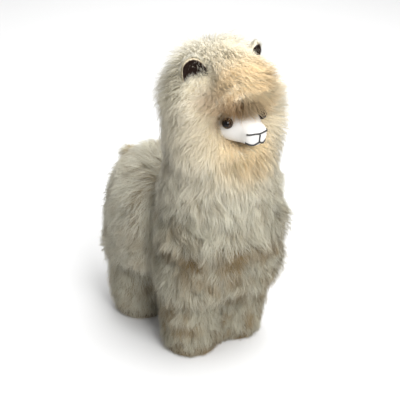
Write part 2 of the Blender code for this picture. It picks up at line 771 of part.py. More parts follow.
def main():
    for thing in list(bpy.data.objects):
        bpy.data.objects.remove(thing, do_unlink=True)
    root = bpy.data.objects.new("alpaca", None)
    bpy.context.scene.collection.objects.link(root)
    fur = material("cream fur", FUR_CREAM, 0.95)
    crown = material("crown fur", CROWN_CREAM, 0.95)
    white_hide = material("white hide", MUZZLE_WHITE, 0.6)
    dark_hide = material("dark hide", LINING_BROWN, 0.9)
    bead = material("brown bead", BEAD_BROWN, 0.08)
    thread = material("black thread", THREAD_BLACK, 0.7)
    sole_hide = material("tan hide", SOLE_TAN, 0.85)

    torso, neck = build_body(root, fur)
    shorn = [(Vector((0, MUZZLE_BASE_Y, MUZZLE_HEIGHT)), SHORN_FACE_RADIUS)]
    shorn += [(Vector((side * EAR_X, EAR_Y, EAR_HEIGHT + EAR_LENGTH)), PARTING_RADIUS) for side in (-1, 1)]
    pelt = shaggy_mesh(head_form, HEAD_SEAM_HEIGHT, CROWN_HEIGHT, seed=3, hem=True, shorn=shorn)
    head = add_object("head", pelt, crown, root)
    build_legs(root, fur, sole_hide)
    build_tail(root, fur, torso)
    build_face(root, head, white_hide, bead, thread)
    build_ears(root, head, fur, dark_hide)
    stand_on_origin(root)


main()
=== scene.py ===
import math

import bmesh
import bpy
import numpy as np
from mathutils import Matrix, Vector, noise


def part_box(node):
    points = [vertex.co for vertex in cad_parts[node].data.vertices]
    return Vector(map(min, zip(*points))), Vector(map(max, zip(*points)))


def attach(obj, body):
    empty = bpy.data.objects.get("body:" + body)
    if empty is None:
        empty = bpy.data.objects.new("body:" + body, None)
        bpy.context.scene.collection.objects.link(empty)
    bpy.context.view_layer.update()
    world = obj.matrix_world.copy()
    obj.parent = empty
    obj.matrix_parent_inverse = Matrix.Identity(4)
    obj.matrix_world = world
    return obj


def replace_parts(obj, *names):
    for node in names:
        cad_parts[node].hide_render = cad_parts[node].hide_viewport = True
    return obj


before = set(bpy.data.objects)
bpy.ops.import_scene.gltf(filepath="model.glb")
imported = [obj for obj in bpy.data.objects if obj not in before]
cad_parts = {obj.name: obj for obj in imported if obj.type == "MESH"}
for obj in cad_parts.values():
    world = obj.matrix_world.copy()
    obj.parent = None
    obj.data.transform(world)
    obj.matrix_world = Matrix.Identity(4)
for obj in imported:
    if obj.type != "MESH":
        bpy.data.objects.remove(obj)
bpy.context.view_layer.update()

# Stuffed pelt
# The toy's body is a fur hide sewn into a bag and packed with fibre, with four small bags of the same hide as
# legs sewn under the belly. Pressed together they are one soft form, from the crown to the rump, that the fur
# grows from.
NOISE_SEED = 11
PELT_VOXEL = 0.0032
PELT_SMOOTHING = 7
STEP_SMOOTHING = 2
INSET_STEPS = 6
RELAX_SHARE = 0.6
MERGE_DISTANCE = 1e-6
HEAD_LOFT = 0.0165
NECK_LOFT = 0.0135
TORSO_LOFT = 0.0120
LEG_LOFT = 0.0090
FACE_LOFT = 0.0050
TAIL_LOFT = 0.0070
SOLE_LOFT = 0.0008
PARTING_LOFT = 0.0130
PARTING_FUR = 0.0050
SHORTEST_FUR = 0.0040
FOOT_SHARE = 0.45
FOOT_FRINGE = 0.0050
SOLE_EDGE = 0.012
EAR_LEAN = 0.0030
PARTING_REACH = 0.012
PARTING_TURN = (0.55, -0.85, 0.15)
LUMP_SIZE = 0.021
LUMP_SHARE = 0.30
APRON_RISE = 0.062
APRON_WAVE = 0.008
APRON_WAVE_SIZE = 0.030
APRON_WAVE_SHIFT = 3.0
APRON_SWELL = 0.0050
APRON_SWELL_RISE = 0.014
APRON_SWELL_WIDTH = 0.011
APRON_TUCK = 0.0035
APRON_TUCK_DROP = 0.008
APRON_TUCK_WIDTH = 0.009
FULLER_CORE = 0.3
# Hide between the roots: a tan darkened as if in shade, which is painted shade, and a lighter colour for higher
# up, which is painted light
HIDE_SHADE = (0.60, 0.50, 0.34, 1.0)
HIDE_PAINTED_LIGHT = (0.94, 0.85, 0.68, 1.0)
HIDE_LIGHTER = 1.35
HIDE_MOTTLE = 160
HIDE_ROUGHNESS = 0.95


def corners(node):
    """The lowest and highest corners of a CAD node, as arrays."""
    low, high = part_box(node)
    return np.array(low), np.array(high)


def middle(node):
    """The middle of a CAD node's box."""
    return sum(corners(node)) / 2


head_low, head_high = corners("head")
neck_low, neck_high = corners("neck")
muzzle_low, muzzle_high = corners("muzzle")
leg_low, leg_high = corners("leg_front_left")
leg_rear_low, leg_rear_high = corners("leg_rear_right")
BACK_HEIGHT = corners("torso")[1][2]
APRON_HEIGHT = leg_high[2] + APRON_RISE
HEAD_HALF_WIDTH = (head_high[0] - head_low[0]) / 2
HEAD_MIDDLE = np.array([0.0, (head_low[1] + head_high[1]) / 2, head_high[2] - HEAD_HALF_WIDTH])
CROWN = np.array([0.0, HEAD_MIDDLE[1], head_high[2]])
MUZZLE_ROOT = np.array([0.0, muzzle_high[1], (muzzle_low[2] + muzzle_high[2]) / 2])
FACE_MIDDLE = MUZZLE_ROOT + (0, -0.01, 0.002)
NECK_MIDDLE_Y = (neck_low[1] + neck_high[1]) / 2
CHEST_SIDE_Y = NECK_MIDDLE_Y - 0.01
TAIL_MIDDLE = middle("tail")
LEG_NODES = ("leg_front_left", "leg_front_right", "leg_rear_left", "leg_rear_right")
BODY_NODES = ("head", "neck", "torso", "tail", *LEG_NODES)
SIDES = ("left", "right")

# Between which two heights, depths or distances each kind of fur runs into the next
FRONT_EDGE = (NECK_MIDDLE_Y + 0.02, NECK_MIDDLE_Y + 0.06)
APRON_FRONT_EDGE = (NECK_MIDDLE_Y, NECK_MIDDLE_Y + 0.03)
HEAD_LOFT_EDGE = (head_low[2] - 0.01, HEAD_MIDDLE[2])
LEG_LOFT_EDGE = (leg_high[2] - 0.015, leg_high[2] + 0.015)
FOOT_LOFT_EDGE = (0.006, 0.030)
FOOT_FRINGE_EDGE = (0.008, 0.024)
UNDERFOOT_EDGE = (0.4, 0.8)
TAIL_EDGE = (0.014, 0.026)
FACE_EDGE = (0.026, 0.048)
PARTING_EDGE = (0.010, 0.026)
PARTING_FUR_EDGE = (0.016, 0.028)

# Where the fur stands fuller or thinner than around it: the spot, how far that reaches, and what it adds
FULLER = {
    "left brow": (HEAD_MIDDLE + (0.050, -0.036, 0.032), 0.048, 0.011),
    "left cheek": (HEAD_MIDDLE + (0.056, -0.036, -0.018), 0.034, 0.008),
    "behind the right cheek": (HEAD_MIDDLE + (-0.050, 0.036, -0.025), 0.055, -0.005),
    "behind the neck": (np.array([0.0, neck_high[1] + 0.010, BACK_HEIGHT]), 0.050, -0.004),
    "right haunch": (np.array([leg_rear_low[0], leg_rear_high[1], 0.055]), 0.055, 0.007),
    "left side of the chest": (np.array([neck_high[0], CHEST_SIDE_Y, 0.150]), 0.080, 0.004),
    "left side below the chest": (np.array([neck_high[0], CHEST_SIDE_Y, 0.080]), 0.060, 0.006),
    "crown": (CROWN, 0.050, -0.004),
    "tail": (TAIL_MIDDLE, 0.050, -0.003),
}


def smooth_share(low, high, values):
    """A smooth step from 0 at low to 1 at high."""
    share = np.clip((values - low) / (high - low), 0, 1)
    return share * share * (3 - 2 * share)


def hump(values, at, width):
    """1 where the values are right at a place, falling off smoothly within a width."""
    return np.exp(-(((values - at) / width) ** 2))


def near(points, spot, inner, outer):
    """1 within the inner distance of a spot, 0 beyond the outer one."""
    return 1 - smooth_share(inner, outer, np.linalg.norm(points - spot, axis=1))


def unit(vectors):
    """Vectors brought to length 1."""
    return vectors / np.maximum(np.linalg.norm(vectors, axis=-1, keepdims=True), 1e-9)


def to_side(direction, x):
    """A direction that is given for the left side, mirrored where x is on the right."""
    return np.array([direction[0] * np.sign(x), *direction[1:]])


def lean_of(side):
    """How far a soft ear sinks into the fur: down, and towards the other ear."""
    return to_side((-1.0, 0.0, -1.0), middle("ear_" + side)[0]) * EAR_LEAN


def parting(side):
    """The spot in front of an ear where the fur is parted: from the ear's lining forwards and outwards."""
    lining = middle("ear_lining_" + side)
    return lining + lean_of(side) + PARTING_REACH * unit(to_side(PARTING_TURN, lining[0]))


def copy_of(node):
    """The vertices and faces of a CAD node, merged back into closed surfaces."""
    mesh = bmesh.new()
    mesh.from_mesh(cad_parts[node].data)
    bmesh.ops.remove_doubles(mesh, verts=mesh.verts, dist=MERGE_DISTANCE)
    return mesh


def relaxed(points, edges, share, rounds=1):
    """Points drawn towards the mean of their neighbours."""
    count = np.bincount(edges.ravel(), minlength=len(points))[:, None]
    for _ in range(rounds):
        total = np.zeros_like(points)
        np.add.at(total, edges[:, 0], points[edges[:, 1]])
        np.add.at(total, edges[:, 1], points[edges[:, 0]])
        points = points + share * (total / count - points)
    return points


def normals_of(data):
    """The vertex normals of a mesh as an array."""
    found = np.empty(len(data.vertices) * 3)
    data.vertex_normals.foreach_get("vector", found)
    return found.reshape(-1, 3)


def points_of(data):
    """The vertices of a mesh as an array."""
    found = np.empty(len(data.vertices) * 3)
    data.vertices.foreach_get("co", found)
    return found.reshape(-1, 3)


def set_points(data, points):
    """Moves the vertices of a mesh."""
    data.vertices.foreach_set("co", points.ravel())
    data.update()


def set_values(data, **values):
    """Stores numbers or vectors on the vertices of a mesh."""
    for name, value in values.items():
        kind, key = ("FLOAT_VECTOR", "vector") if value.ndim == 2 else ("FLOAT", "value")
        found = data.attributes.get(name) or data.attributes.new(name, kind, "POINT")
        found.data.foreach_set(key, value.astype(np.float32).ravel())


def mottled(points, size, shift=0.0):
    """Smooth noise from about -1 to 1 over points, with spots of this size."""
    away = Vector((shift, shift, shift))
    return np.array([noise.noise(Vector(point) / size + away) for point in points])


def swirls(points, size):
    """Smooth noise vectors over points, with swirls of this size."""
    return np.array([noise.noise_vector(Vector(point) / size) for point in points])


def standing(name, data):
    """A new object in the scene, with this mesh, camera or light."""
    made = bpy.data.objects.new(name, data)
    bpy.context.scene.collection.objects.link(made)
    return made


def joined_copy(name, nodes):
    """CAD nodes merged into one new object."""
    joined = bmesh.new()
    for node in nodes:
        part = copy_of(node)
        data = bpy.data.meshes.new(node + "_copy")
        part.to_mesh(data)
        part.free()
        joined.from_mesh(data)
        bpy.data.meshes.remove(data)
    data = bpy.data.meshes.new(name)
    joined.to_mesh(data)
    joined.free()
    return standing(name, data)


def edges_of(data):
    """The edges of a mesh, as pairs of vertices."""
    found = np.empty(len(data.edges) * 2, int)
    data.edges.foreach_get("vertices", found)
    return found.reshape(-1, 2)


def keep_largest(data):
    """Deletes all but the largest of a mesh's separate surfaces."""
    mesh = bmesh.new()
    mesh.from_mesh(data)
    mesh.verts.ensure_lookup_table()
    group = [None] * len(mesh.verts)
    sizes = []
    for first in mesh.verts:
        if group[first.index] is not None:
            continue
        group[first.index] = len(sizes)
        waiting = [first]
        size = 0
        while waiting:
            vert = waiting.pop()
            size += 1
            for edge in vert.link_edges:
                other = edge.other_vert(vert)
                if group[other.index] is None:
                    group[other.index] = len(sizes)
                    waiting.append(other)
        sizes.append(size)
    largest = sizes.index(max(sizes))
    extra = [vert for vert in mesh.verts if group[vert.index] != largest]
    bmesh.ops.delete(mesh, geom=extra, context="VERTS")
    mesh.to_mesh(data)
    mesh.free()


def remeshed(made, voxel, rounds):
    """Gives an object an even closed mesh, smoothed by rounds of relaxing."""
    remesh = made.modifiers.new("remesh", "REMESH")
    remesh.mode = "VOXEL"
    remesh.voxel_size = voxel
    evaluated = made.evaluated_get(bpy.context.evaluated_depsgraph_get())
    data = bpy.data.meshes.new_from_object(evaluated)
    made.modifiers.remove(remesh)
    keep_largest(data)
    set_points(data, relaxed(points_of(data), edges_of(data), RELAX_SHARE, rounds))
    data.shade_smooth()
    made.data = data


def fur_depth(points, out):
    """How deep the fur stands over each point of the body."""
    y, z = points[:, 1], points[:, 2]
    front = 1 - smooth_share(*FRONT_EDGE, y)
    depth = TORSO_LOFT + (NECK_LOFT - TORSO_LOFT) * front
    depth += (HEAD_LOFT - NECK_LOFT) * smooth_share(*HEAD_LOFT_EDGE, z)
    depth += (LEG_LOFT - depth) * (1 - smooth_share(*LEG_LOFT_EDGE, z))
    depth *= FOOT_SHARE + (1 - FOOT_SHARE) * smooth_share(*FOOT_LOFT_EDGE, z)
    depth *= 1 + LUMP_SHARE * mottled(points, LUMP_SIZE)
    depth += (TAIL_LOFT - depth) * near(points, TAIL_MIDDLE, *TAIL_EDGE)
    for side in SIDES:
        depth += (PARTING_LOFT - depth) * near(points, parting(side), *PARTING_EDGE)
    depth += (FACE_LOFT - depth) * near(points, FACE_MIDDLE, *FACE_EDGE)
    underfoot = smooth_share(*UNDERFOOT_EDGE, -out[:, 2]) * (z < SOLE_EDGE)
    return depth + (SOLE_LOFT - depth) * underfoot


def apron(points):
    """How far points are above the wavy lower edge of the chest fur, and their share in it, front to back."""
    edge = APRON_HEIGHT + APRON_WAVE * mottled(points * (1, 1, 0), APRON_WAVE_SIZE, APRON_WAVE_SHIFT)
    return points[:, 2] - edge, 1 - smooth_share(*APRON_FRONT_EDGE, points[:, 1])


def live(sockets, name):
    """The socket of this name that is in use, on a node that has several."""
    return next(socket for socket in sockets if socket.name == name and socket.enabled)


def fill(tree, node, inputs):
    """Links or sets inputs of a node, each given by its name or number."""
    for name, value in inputs.items():
        socket = node.inputs[name] if isinstance(name, int) else live(node.inputs, name)
        if isinstance(value, bpy.types.NodeSocket):
            tree.links.new(value, socket)
        else:
            socket.default_value = value
    return node


def put(tree, kind, inputs=None, **settings):
    """Adds a node to a tree, with its settings and inputs."""
    node = tree.nodes.new(kind)
    for name, value in settings.items():
        setattr(node, name, value)
    return fill(tree, node, inputs or {})


def blended(tree, share, first, second, kind="VECTOR"):
    """First and second mixed by a share, as vectors or as colours."""
    mix = put(tree, "ShaderNodeMix", {"Factor": share, "A": first, "B": second}, data_type=kind)
    return live(mix.outputs, "Result")


def new_material(name):
    """A material, with its node tree and its main shader."""
    made = bpy.data.materials.new(name)
    made.use_nodes = True
    return made, made.node_tree, made.node_tree.nodes["Principled BSDF"]


def hide_material():
    """Tanned hide seen between the roots of the fur, darkened as if in shade and lighter higher up: painted
    shade and painted light.
    """
    made, tree, shader = new_material("hide under fur")
    place = put(tree, "ShaderNodeTexCoord").outputs["Object"]
    mottle = put(tree, "ShaderNodeTexNoise", {"Vector": place, "Scale": HIDE_MOTTLE}).outputs["Fac"]
    lighter = (*(part * HIDE_LIGHTER for part in HIDE_SHADE[:3]), 1.0)
    tan = blended(tree, mottle, HIDE_SHADE, lighter, "RGBA")
    # Painted light: the hide is mixed towards a lighter colour higher up
    pale = put(tree, "ShaderNodeAttribute", attribute_name="pale").outputs["Fac"]
    colour = blended(tree, pale, tan, HIDE_PAINTED_LIGHT, "RGBA")
    fill(tree, shader, {"Base Color": colour, "Roughness": HIDE_ROUGHNESS})
    return made


noise.seed_set(NOISE_SEED)
body_pelt = joined_copy("body_pelt", BODY_NODES)
remeshed(body_pelt, PELT_VOXEL, PELT_SMOOTHING)
for _ in range(INSET_STEPS):
    places = points_of(body_pelt.data)
    out = normals_of(body_pelt.data)
    set_points(body_pelt.data, places - out * (fur_depth(places, out) / INSET_STEPS)[:, None])
    remeshed(body_pelt, PELT_VOXEL, STEP_SMOOTHING)
places = points_of(body_pelt.data)
loft = fur_depth(places, normals_of(body_pelt.data))
for side in SIDES:
    loft += (PARTING_FUR - loft) * near(places, parting(side), *PARTING_FUR_EDGE)
loft += FOOT_FRINGE * (1 - smooth_share(*FOOT_FRINGE_EDGE, places[:, 2]))
above_edge, in_front = apron(places)
loft += in_front * APRON_SWELL * hump(above_edge, APRON_SWELL_RISE, APRON_SWELL_WIDTH)
loft -= in_front * APRON_TUCK * hump(above_edge, -APRON_TUCK_DROP, APRON_TUCK_WIDTH)
for spot, reach, extra in FULLER.values():
    loft += extra * near(places, spot, FULLER_CORE * reach, reach)
set_values(body_pelt.data, loft=np.maximum(loft, SHORTEST_FUR))
body_pelt.data.materials.clear()
body_pelt.data.materials.append(hide_material())
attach(body_pelt, "root")
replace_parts(body_pelt, *BODY_NODES)

# Long fur
# The fleece was left long when the hide was sewn. Its fibres cling together in tufts, and the tufts in soft
# wavy locks, which fall with the comb: away from the crown and the face, down the neck and legs, and back over
# the rump.
FUR_SIZES = {
    "Strands per Area": 1040000.0,
    "Tufts per Area": 130000.0,
    "Locks per Area": 30000.0,
    "Half Width": 0.00024,
    "Joints": 3,
    "Wave Size": 0.012,
    "Strays": 0.30,
    "Lock Roundness": 120.0,
    "Floor": 0.0004,
}
STRAND_TAPER = 0.85
STRAND_GIRTH = (0.7, 1.25)
STRAND_TWIST = 0.5
FUR_SEED = 11

# The draws, the sideways sway and the spread of sizes of each level that is scattered
LOCK_DRAWS = 100
TUFT_DRAWS = 200
STRAND_DRAWS = 300
OWN_DRAWS = 400
LOCK_SWAY = 0.80
TUFT_SWAY = 0.55
STRAND_SWAY = 0.70
LOCK_SPREAD = 0.28
TUFT_SPREAD = 0.20
STRAND_SPREAD = 0.24
LOFT_SPREAD = 0.15

# The bend of a strand: how high its tip and its arch stand over the loft, and what rising fur changes there
END_HEIGHT = 0.85
END_RISE = 0.35
ARCH_HEIGHT = 1.35
ARCH_FALL = 0.40
PULL_SHARE = 0.25

# How strongly strands are held by their tuft and their lock
STRAY_CLING = 0.2
TUFT_CLING = 0.15
TUFT_CLUMP = 0.5
LOCK_CLOSING = 1.5

# The ripples of tufts and of single strands: their size and height as shares of the lock's
TUFT_WAVE = (0.5, 0.45)
STRAND_WAVE = (0.3, 0.40)

# The finish of the fibre: light and dark from one strand to the next, its sheen, and its colours
LOCK_TONE = 0.4
TUFT_TONE = 0.3
STRAND_TONE = 0.3
TONE_RANGE = (0.84, 1.06)
RIPE_ALONG = 0.6
LAY_SHARE = 0.8
FIBRE_GLOW = 0.60
FIBRE_ROUGHNESS = 0.85
FIBRE_SHINE = 0.08
TIP_CREAM = (0.96, 0.945, 0.85, 1.0)
TIP_PEACH = (0.88, 0.73, 0.50, 1.0)
# The next colour is painted shade: a darker tip for the legs, the lower body, the tail and the back, where less
# light falls
TIP_PAINTED_SHADE = (0.74, 0.715, 0.60, 1.0)
# The next colour serves ochre blotches at random, and painted shade in the crease under the lower edge of the
# chest fur
OCHRE_STAIN_AND_SHADE = (0.42, 0.30, 0.15, 1.0)
ROOT_OCHRE = (0.50, 0.38, 0.19, 1.0)
# The next colour is painted light: the lighter peach roots higher up, where more light falls
ROOT_PAINTED_LIGHT_PEACH = (0.91, 0.84, 0.64, 1.0)
# The next colour is brown fur and painted shade at the brow, over the muzzle and around the eyes
BROW_BROWN_AND_SHADE = (0.36, 0.21, 0.10, 1.0)


def number(tree, operation, first, second=0.0, third=0.0):
    """One step of arithmetic in a node tree."""
    return put(tree, "ShaderNodeMath", {0: first, 1: second, 2: third}, operation=operation).outputs[0]


def vector_step(tree, operation, first, second=(0, 0, 0)):
    """One step of arithmetic with vectors in a node tree."""
    return put(tree, "ShaderNodeVectorMath", {0: first, 1: second}, operation=operation).outputs[0]


def vector_sum(tree, *parts):
    """Adds up vectors in a node tree. Each part is a vector, or a vector and the number that scales it."""
    total = None
    for part in parts:
        if isinstance(part, tuple):
            scaled = put(tree, "ShaderNodeVectorMath", {0: part[0], "Scale": part[1]}, operation="SCALE")
            part = scaled.outputs[0]
        total = part if total is None else vector_step(tree, "ADD", total, part)
    return total


def fur_tree():
    """Geometry Nodes that grow fur on a pelt, as ribbons that bend from their roots and narrow to their tips.

    Locks, tufts and strands are scattered alike, in rising numbers. Each strand is drawn towards the nearest
    tuft and, more and more to its tip, towards the nearest lock.
    """
    tree = bpy.data.node_groups.new("locks of fur", "GeometryNodeTree")
    face = tree.interface
    face.new_socket("Geometry", in_out="INPUT", socket_type="NodeSocketGeometry")
    for name, kind in (
        ("Strands per Area", "NodeSocketFloat"),
        ("Tufts per Area", "NodeSocketFloat"),
        ("Locks per Area", "NodeSocketFloat"),
        ("Half Width", "NodeSocketFloat"),
        ("Joints", "NodeSocketInt"),
        ("Wave Size", "NodeSocketFloat"),
        ("Strays", "NodeSocketFloat"),
        ("Lock Roundness", "NodeSocketFloat"),
        ("Floor", "NodeSocketFloat"),
        ("Seed", "NodeSocketInt"),
        ("Fur", "NodeSocketMaterial"),
    ):
        face.new_socket(name, in_out="INPUT", socket_type=kind)
    face.new_socket("Geometry", in_out="OUTPUT", socket_type="NodeSocketGeometry")
    given = tree.nodes.new("NodeGroupInput").outputs
    place = tree.nodes.new("GeometryNodeInputPosition").outputs[0]

    def named(name, kind="FLOAT"):
        read = put(tree, "GeometryNodeInputNamedAttribute", {"Name": name}, data_type=kind)
        return read.outputs["Attribute"]

    def store(geometry, name, value, kind="FLOAT"):
        return put(
            tree,
            "GeometryNodeStoreNamedAttribute",
            {"Geometry": geometry, "Name": name, "Value": value},
            data_type=kind,
            domain="POINT",
        ).outputs["Geometry"]

    def random(low, high, offset):
        seed = number(tree, "ADD", given["Seed"], offset)
        drawn = put(
            tree, "FunctionNodeRandomValue", {"Seed": seed, "Min": low, "Max": high}, data_type="FLOAT"
        )
        return drawn.outputs[1]

    def scattered(per_area, mask, offset, sway, spread):
        """Points over the pelt, each with its root, its first pull and its full reach."""
        geometry = put(
            tree,
            "GeometryNodeDistributePointsOnFaces",
            {
                "Mesh": given["Geometry"],
                "Density": number(tree, "MULTIPLY", given[per_area], named(mask)),
                "Seed": number(tree, "ADD", given["Seed"], offset),
            },
            distribute_method="RANDOM",
        ).outputs["Points"]
        out, comb, rise = named("out", "FLOAT_VECTOR"), named("comb", "FLOAT_VECTOR"), named("rise")
        aside = vector_step(tree, "CROSS_PRODUCT", out, comb)
        swayed = vector_sum(tree, comb, (aside, random(-sway, sway, offset + 1)))
        size = random(1 - spread, 1 + spread, offset + 2)
        varied = random(1 - LOFT_SPREAD, 1 + LOFT_SPREAD, offset + 3)
        loft = number(tree, "MULTIPLY", number(tree, "MULTIPLY", named("loft"), size), varied)
        trail = number(tree, "MULTIPLY", named("trail"), size)
        end = number(tree, "MULTIPLY_ADD", rise, END_RISE, END_HEIGHT)
        arch = number(tree, "MULTIPLY_ADD", rise, -ARCH_FALL, ARCH_HEIGHT)
        pulled = number(tree, "MULTIPLY", trail, PULL_SHARE)
        reach = vector_sum(tree, (out, number(tree, "MULTIPLY", loft, end)), (swayed, trail))
        pull = vector_sum(tree, (out, number(tree, "MULTIPLY", loft, arch)), (swayed, pulled))
        for name, value in (("root", place), ("pull", pull), ("reach", reach)):
            geometry = store(geometry, name, value, "FLOAT_VECTOR")
        return store(geometry, "tone", random(0.0, 1.0, offset + 4))

    locks = scattered("Locks per Area", "density", LOCK_DRAWS, LOCK_SWAY, LOCK_SPREAD)
    tufts = scattered("Tufts per Area", "density", TUFT_DRAWS, TUFT_SWAY, TUFT_SPREAD)
    strands = scattered("Strands per Area", "sown", STRAND_DRAWS, STRAND_SWAY, STRAND_SPREAD)
    tone = number(tree, "MULTIPLY", named("tone"), STRAND_TONE)
    for level, guides, share in (("tuft_", tufts, TUFT_TONE), ("lock_", locks, LOCK_TONE)):
        nearest = put(
            tree, "GeometryNodeSampleNearest", {"Geometry": guides, "Sample Position": place}, domain="POINT"
        ).outputs[0]

        def sampled(name, kind):
            return put(
                tree,
                "GeometryNodeSampleIndex",
                {"Geometry": guides, "Value": named(name, kind), "Index": nearest},
                data_type=kind,
                domain="POINT",
            ).outputs[0]

        tone = number(tree, "MULTIPLY_ADD", sampled("tone", "FLOAT"), share, tone)
        for name in ("root", "pull", "reach"):
            strands = store(strands, level + name, sampled(name, "FLOAT_VECTOR"), "FLOAT_VECTOR")
    strands = store(strands, "shade", tone)
    held = number(tree, "GREATER_THAN", random(0.0, 1.0, OWN_DRAWS), given["Strays"])
    strands = store(strands, "cling", number(tree, "MULTIPLY_ADD", held, 1 - STRAY_CLING, STRAY_CLING))
    strands = store(strands, "girth", random(*STRAND_GIRTH, OWN_DRAWS + 1))
    strands = store(strands, "twist", random(-STRAND_TWIST, STRAND_TWIST, OWN_DRAWS + 2))

    rows = number(tree, "ADD", given["Joints"], 1)
    ribbon = put(
        tree, "GeometryNodeMeshGrid", {"Size X": 2.0, "Size Y": 1.0, "Vertices X": 2, "Vertices Y": rows}
    ).outputs["Mesh"]
    ribbon = store(ribbon, "shape", place, "FLOAT_VECTOR")
    planted = put(tree, "GeometryNodeInstanceOnPoints", {"Points": strands, "Instance": ribbon}).outputs[0]
    fur = put(tree, "GeometryNodeRealizeInstances", {"Geometry": planted}).outputs[0]

    shape = put(tree, "ShaderNodeSeparateXYZ", {0: named("shape", "FLOAT_VECTOR")}).outputs
    along = number(tree, "ADD", shape[1], 0.5)
    squared = number(tree, "MULTIPLY", along, along)
    rest = number(tree, "SUBTRACT", 1.0, along)
    early = number(tree, "MULTIPLY", number(tree, "MULTIPLY", along, 2.0), rest)

    def path(level):
        return vector_sum(
            tree,
            named(level + "root", "FLOAT_VECTOR"),
            (named(level + "pull", "FLOAT_VECTOR"), early),
            (named(level + "reach", "FLOAT_VECTOR"), squared),
        )

    own, tuft, lock = path(""), path("tuft_"), path("lock_")
    tufted = number(tree, "MULTIPLY_ADD", named("clump"), TUFT_CLUMP, TUFT_CLING)
    to_tuft = number(tree, "MULTIPLY", number(tree, "MULTIPLY", named("cling"), tufted), along)
    closing = number(tree, "POWER", along, LOCK_CLOSING)
    to_lock = number(tree, "MULTIPLY", number(tree, "MULTIPLY", named("cling"), named("clump")), closing)
    line = blended(tree, to_lock, blended(tree, to_tuft, own, tuft), lock)

    def ripple(at, size, height):
        """A smooth sideways shift that grows to the tip, like for all strands near one place."""
        scale = number(tree, "DIVIDE", 1.0, size)
        wander = put(tree, "ShaderNodeTexNoise", {"Vector": at, "Scale": scale, "Detail": 1.0}).outputs["Color"]
        return vector_step(tree, "SUBTRACT", wander, (0.5, 0.5, 0.5)), number(tree, "MULTIPLY", along, height)

    wave, height = given["Wave Size"], named("wave")
    ripples = [ripple(lock, wave, height)]
    for at, (size, rise) in ((tuft, TUFT_WAVE), (own, STRAND_WAVE)):
        lower = number(tree, "MULTIPLY", height, rise)
        ripples.append(ripple(at, number(tree, "MULTIPLY", wave, size), lower))
    line = vector_sum(tree, line, *ripples)

    heading = vector_step(tree, "NORMALIZE", named("reach", "FLOAT_VECTOR"))
    out = named("out", "FLOAT_VECTOR")
    across = vector_step(tree, "NORMALIZE", vector_step(tree, "CROSS_PRODUCT", out, heading))
    upward = vector_step(tree, "CROSS_PRODUCT", heading, across)
    half = number(tree, "MULTIPLY", number(tree, "MULTIPLY", given["Half Width"], named("girth")), shape[0])
    half = number(tree, "MULTIPLY", half, number(tree, "MULTIPLY_ADD", squared, -STRAND_TAPER, 1.0))
    twist = named("twist")
    placed = vector_sum(
        tree,
        line,
        (across, number(tree, "MULTIPLY", half, number(tree, "COSINE", twist))),
        (upward, number(tree, "MULTIPLY", half, number(tree, "SINE", twist))),
    )
    split = put(tree, "ShaderNodeSeparateXYZ", {0: placed}).outputs
    above = number(tree, "MAXIMUM", split[2], given["Floor"])
    placed = put(tree, "ShaderNodeCombineXYZ", {0: split[0], 1: split[1], 2: above}).outputs[0]
    fur = put(tree, "GeometryNodeSetPosition", {"Geometry": fur, "Position": placed}).outputs[0]
    fur = store(fur, "along", along)
    roundness = number(tree, "MULTIPLY", given["Lock Roundness"], named("roundness"))
    rounded = vector_sum(tree, out, (vector_step(tree, "SUBTRACT", own, lock), roundness))
    fur = store(fur, "lay", vector_step(tree, "NORMALIZE", rounded), "FLOAT_VECTOR")
    used = [level + name for level in ("", "tuft_", "lock_") for name in ("root", "pull", "reach")]
    used += ["shape", "cling", "girth", "twist", "tone", "out", "comb", "loft", "trail", "rise"]
    for name in used + ["clump", "wave", "density", "sown", "roundness"]:
        fur = put(tree, "GeometryNodeRemoveAttribute", {"Geometry": fur, "Name": name}).outputs[0]
    fur = put(tree, "GeometryNodeSetShadeSmooth", {"Geometry": fur}).outputs[0]
    fur = put(tree, "GeometryNodeSetMaterial", {"Geometry": fur, "Material": given["Fur"]}).outputs[0]
    tree.links.new(fur, tree.nodes.new("NodeGroupOutput").inputs[0])
    return tree


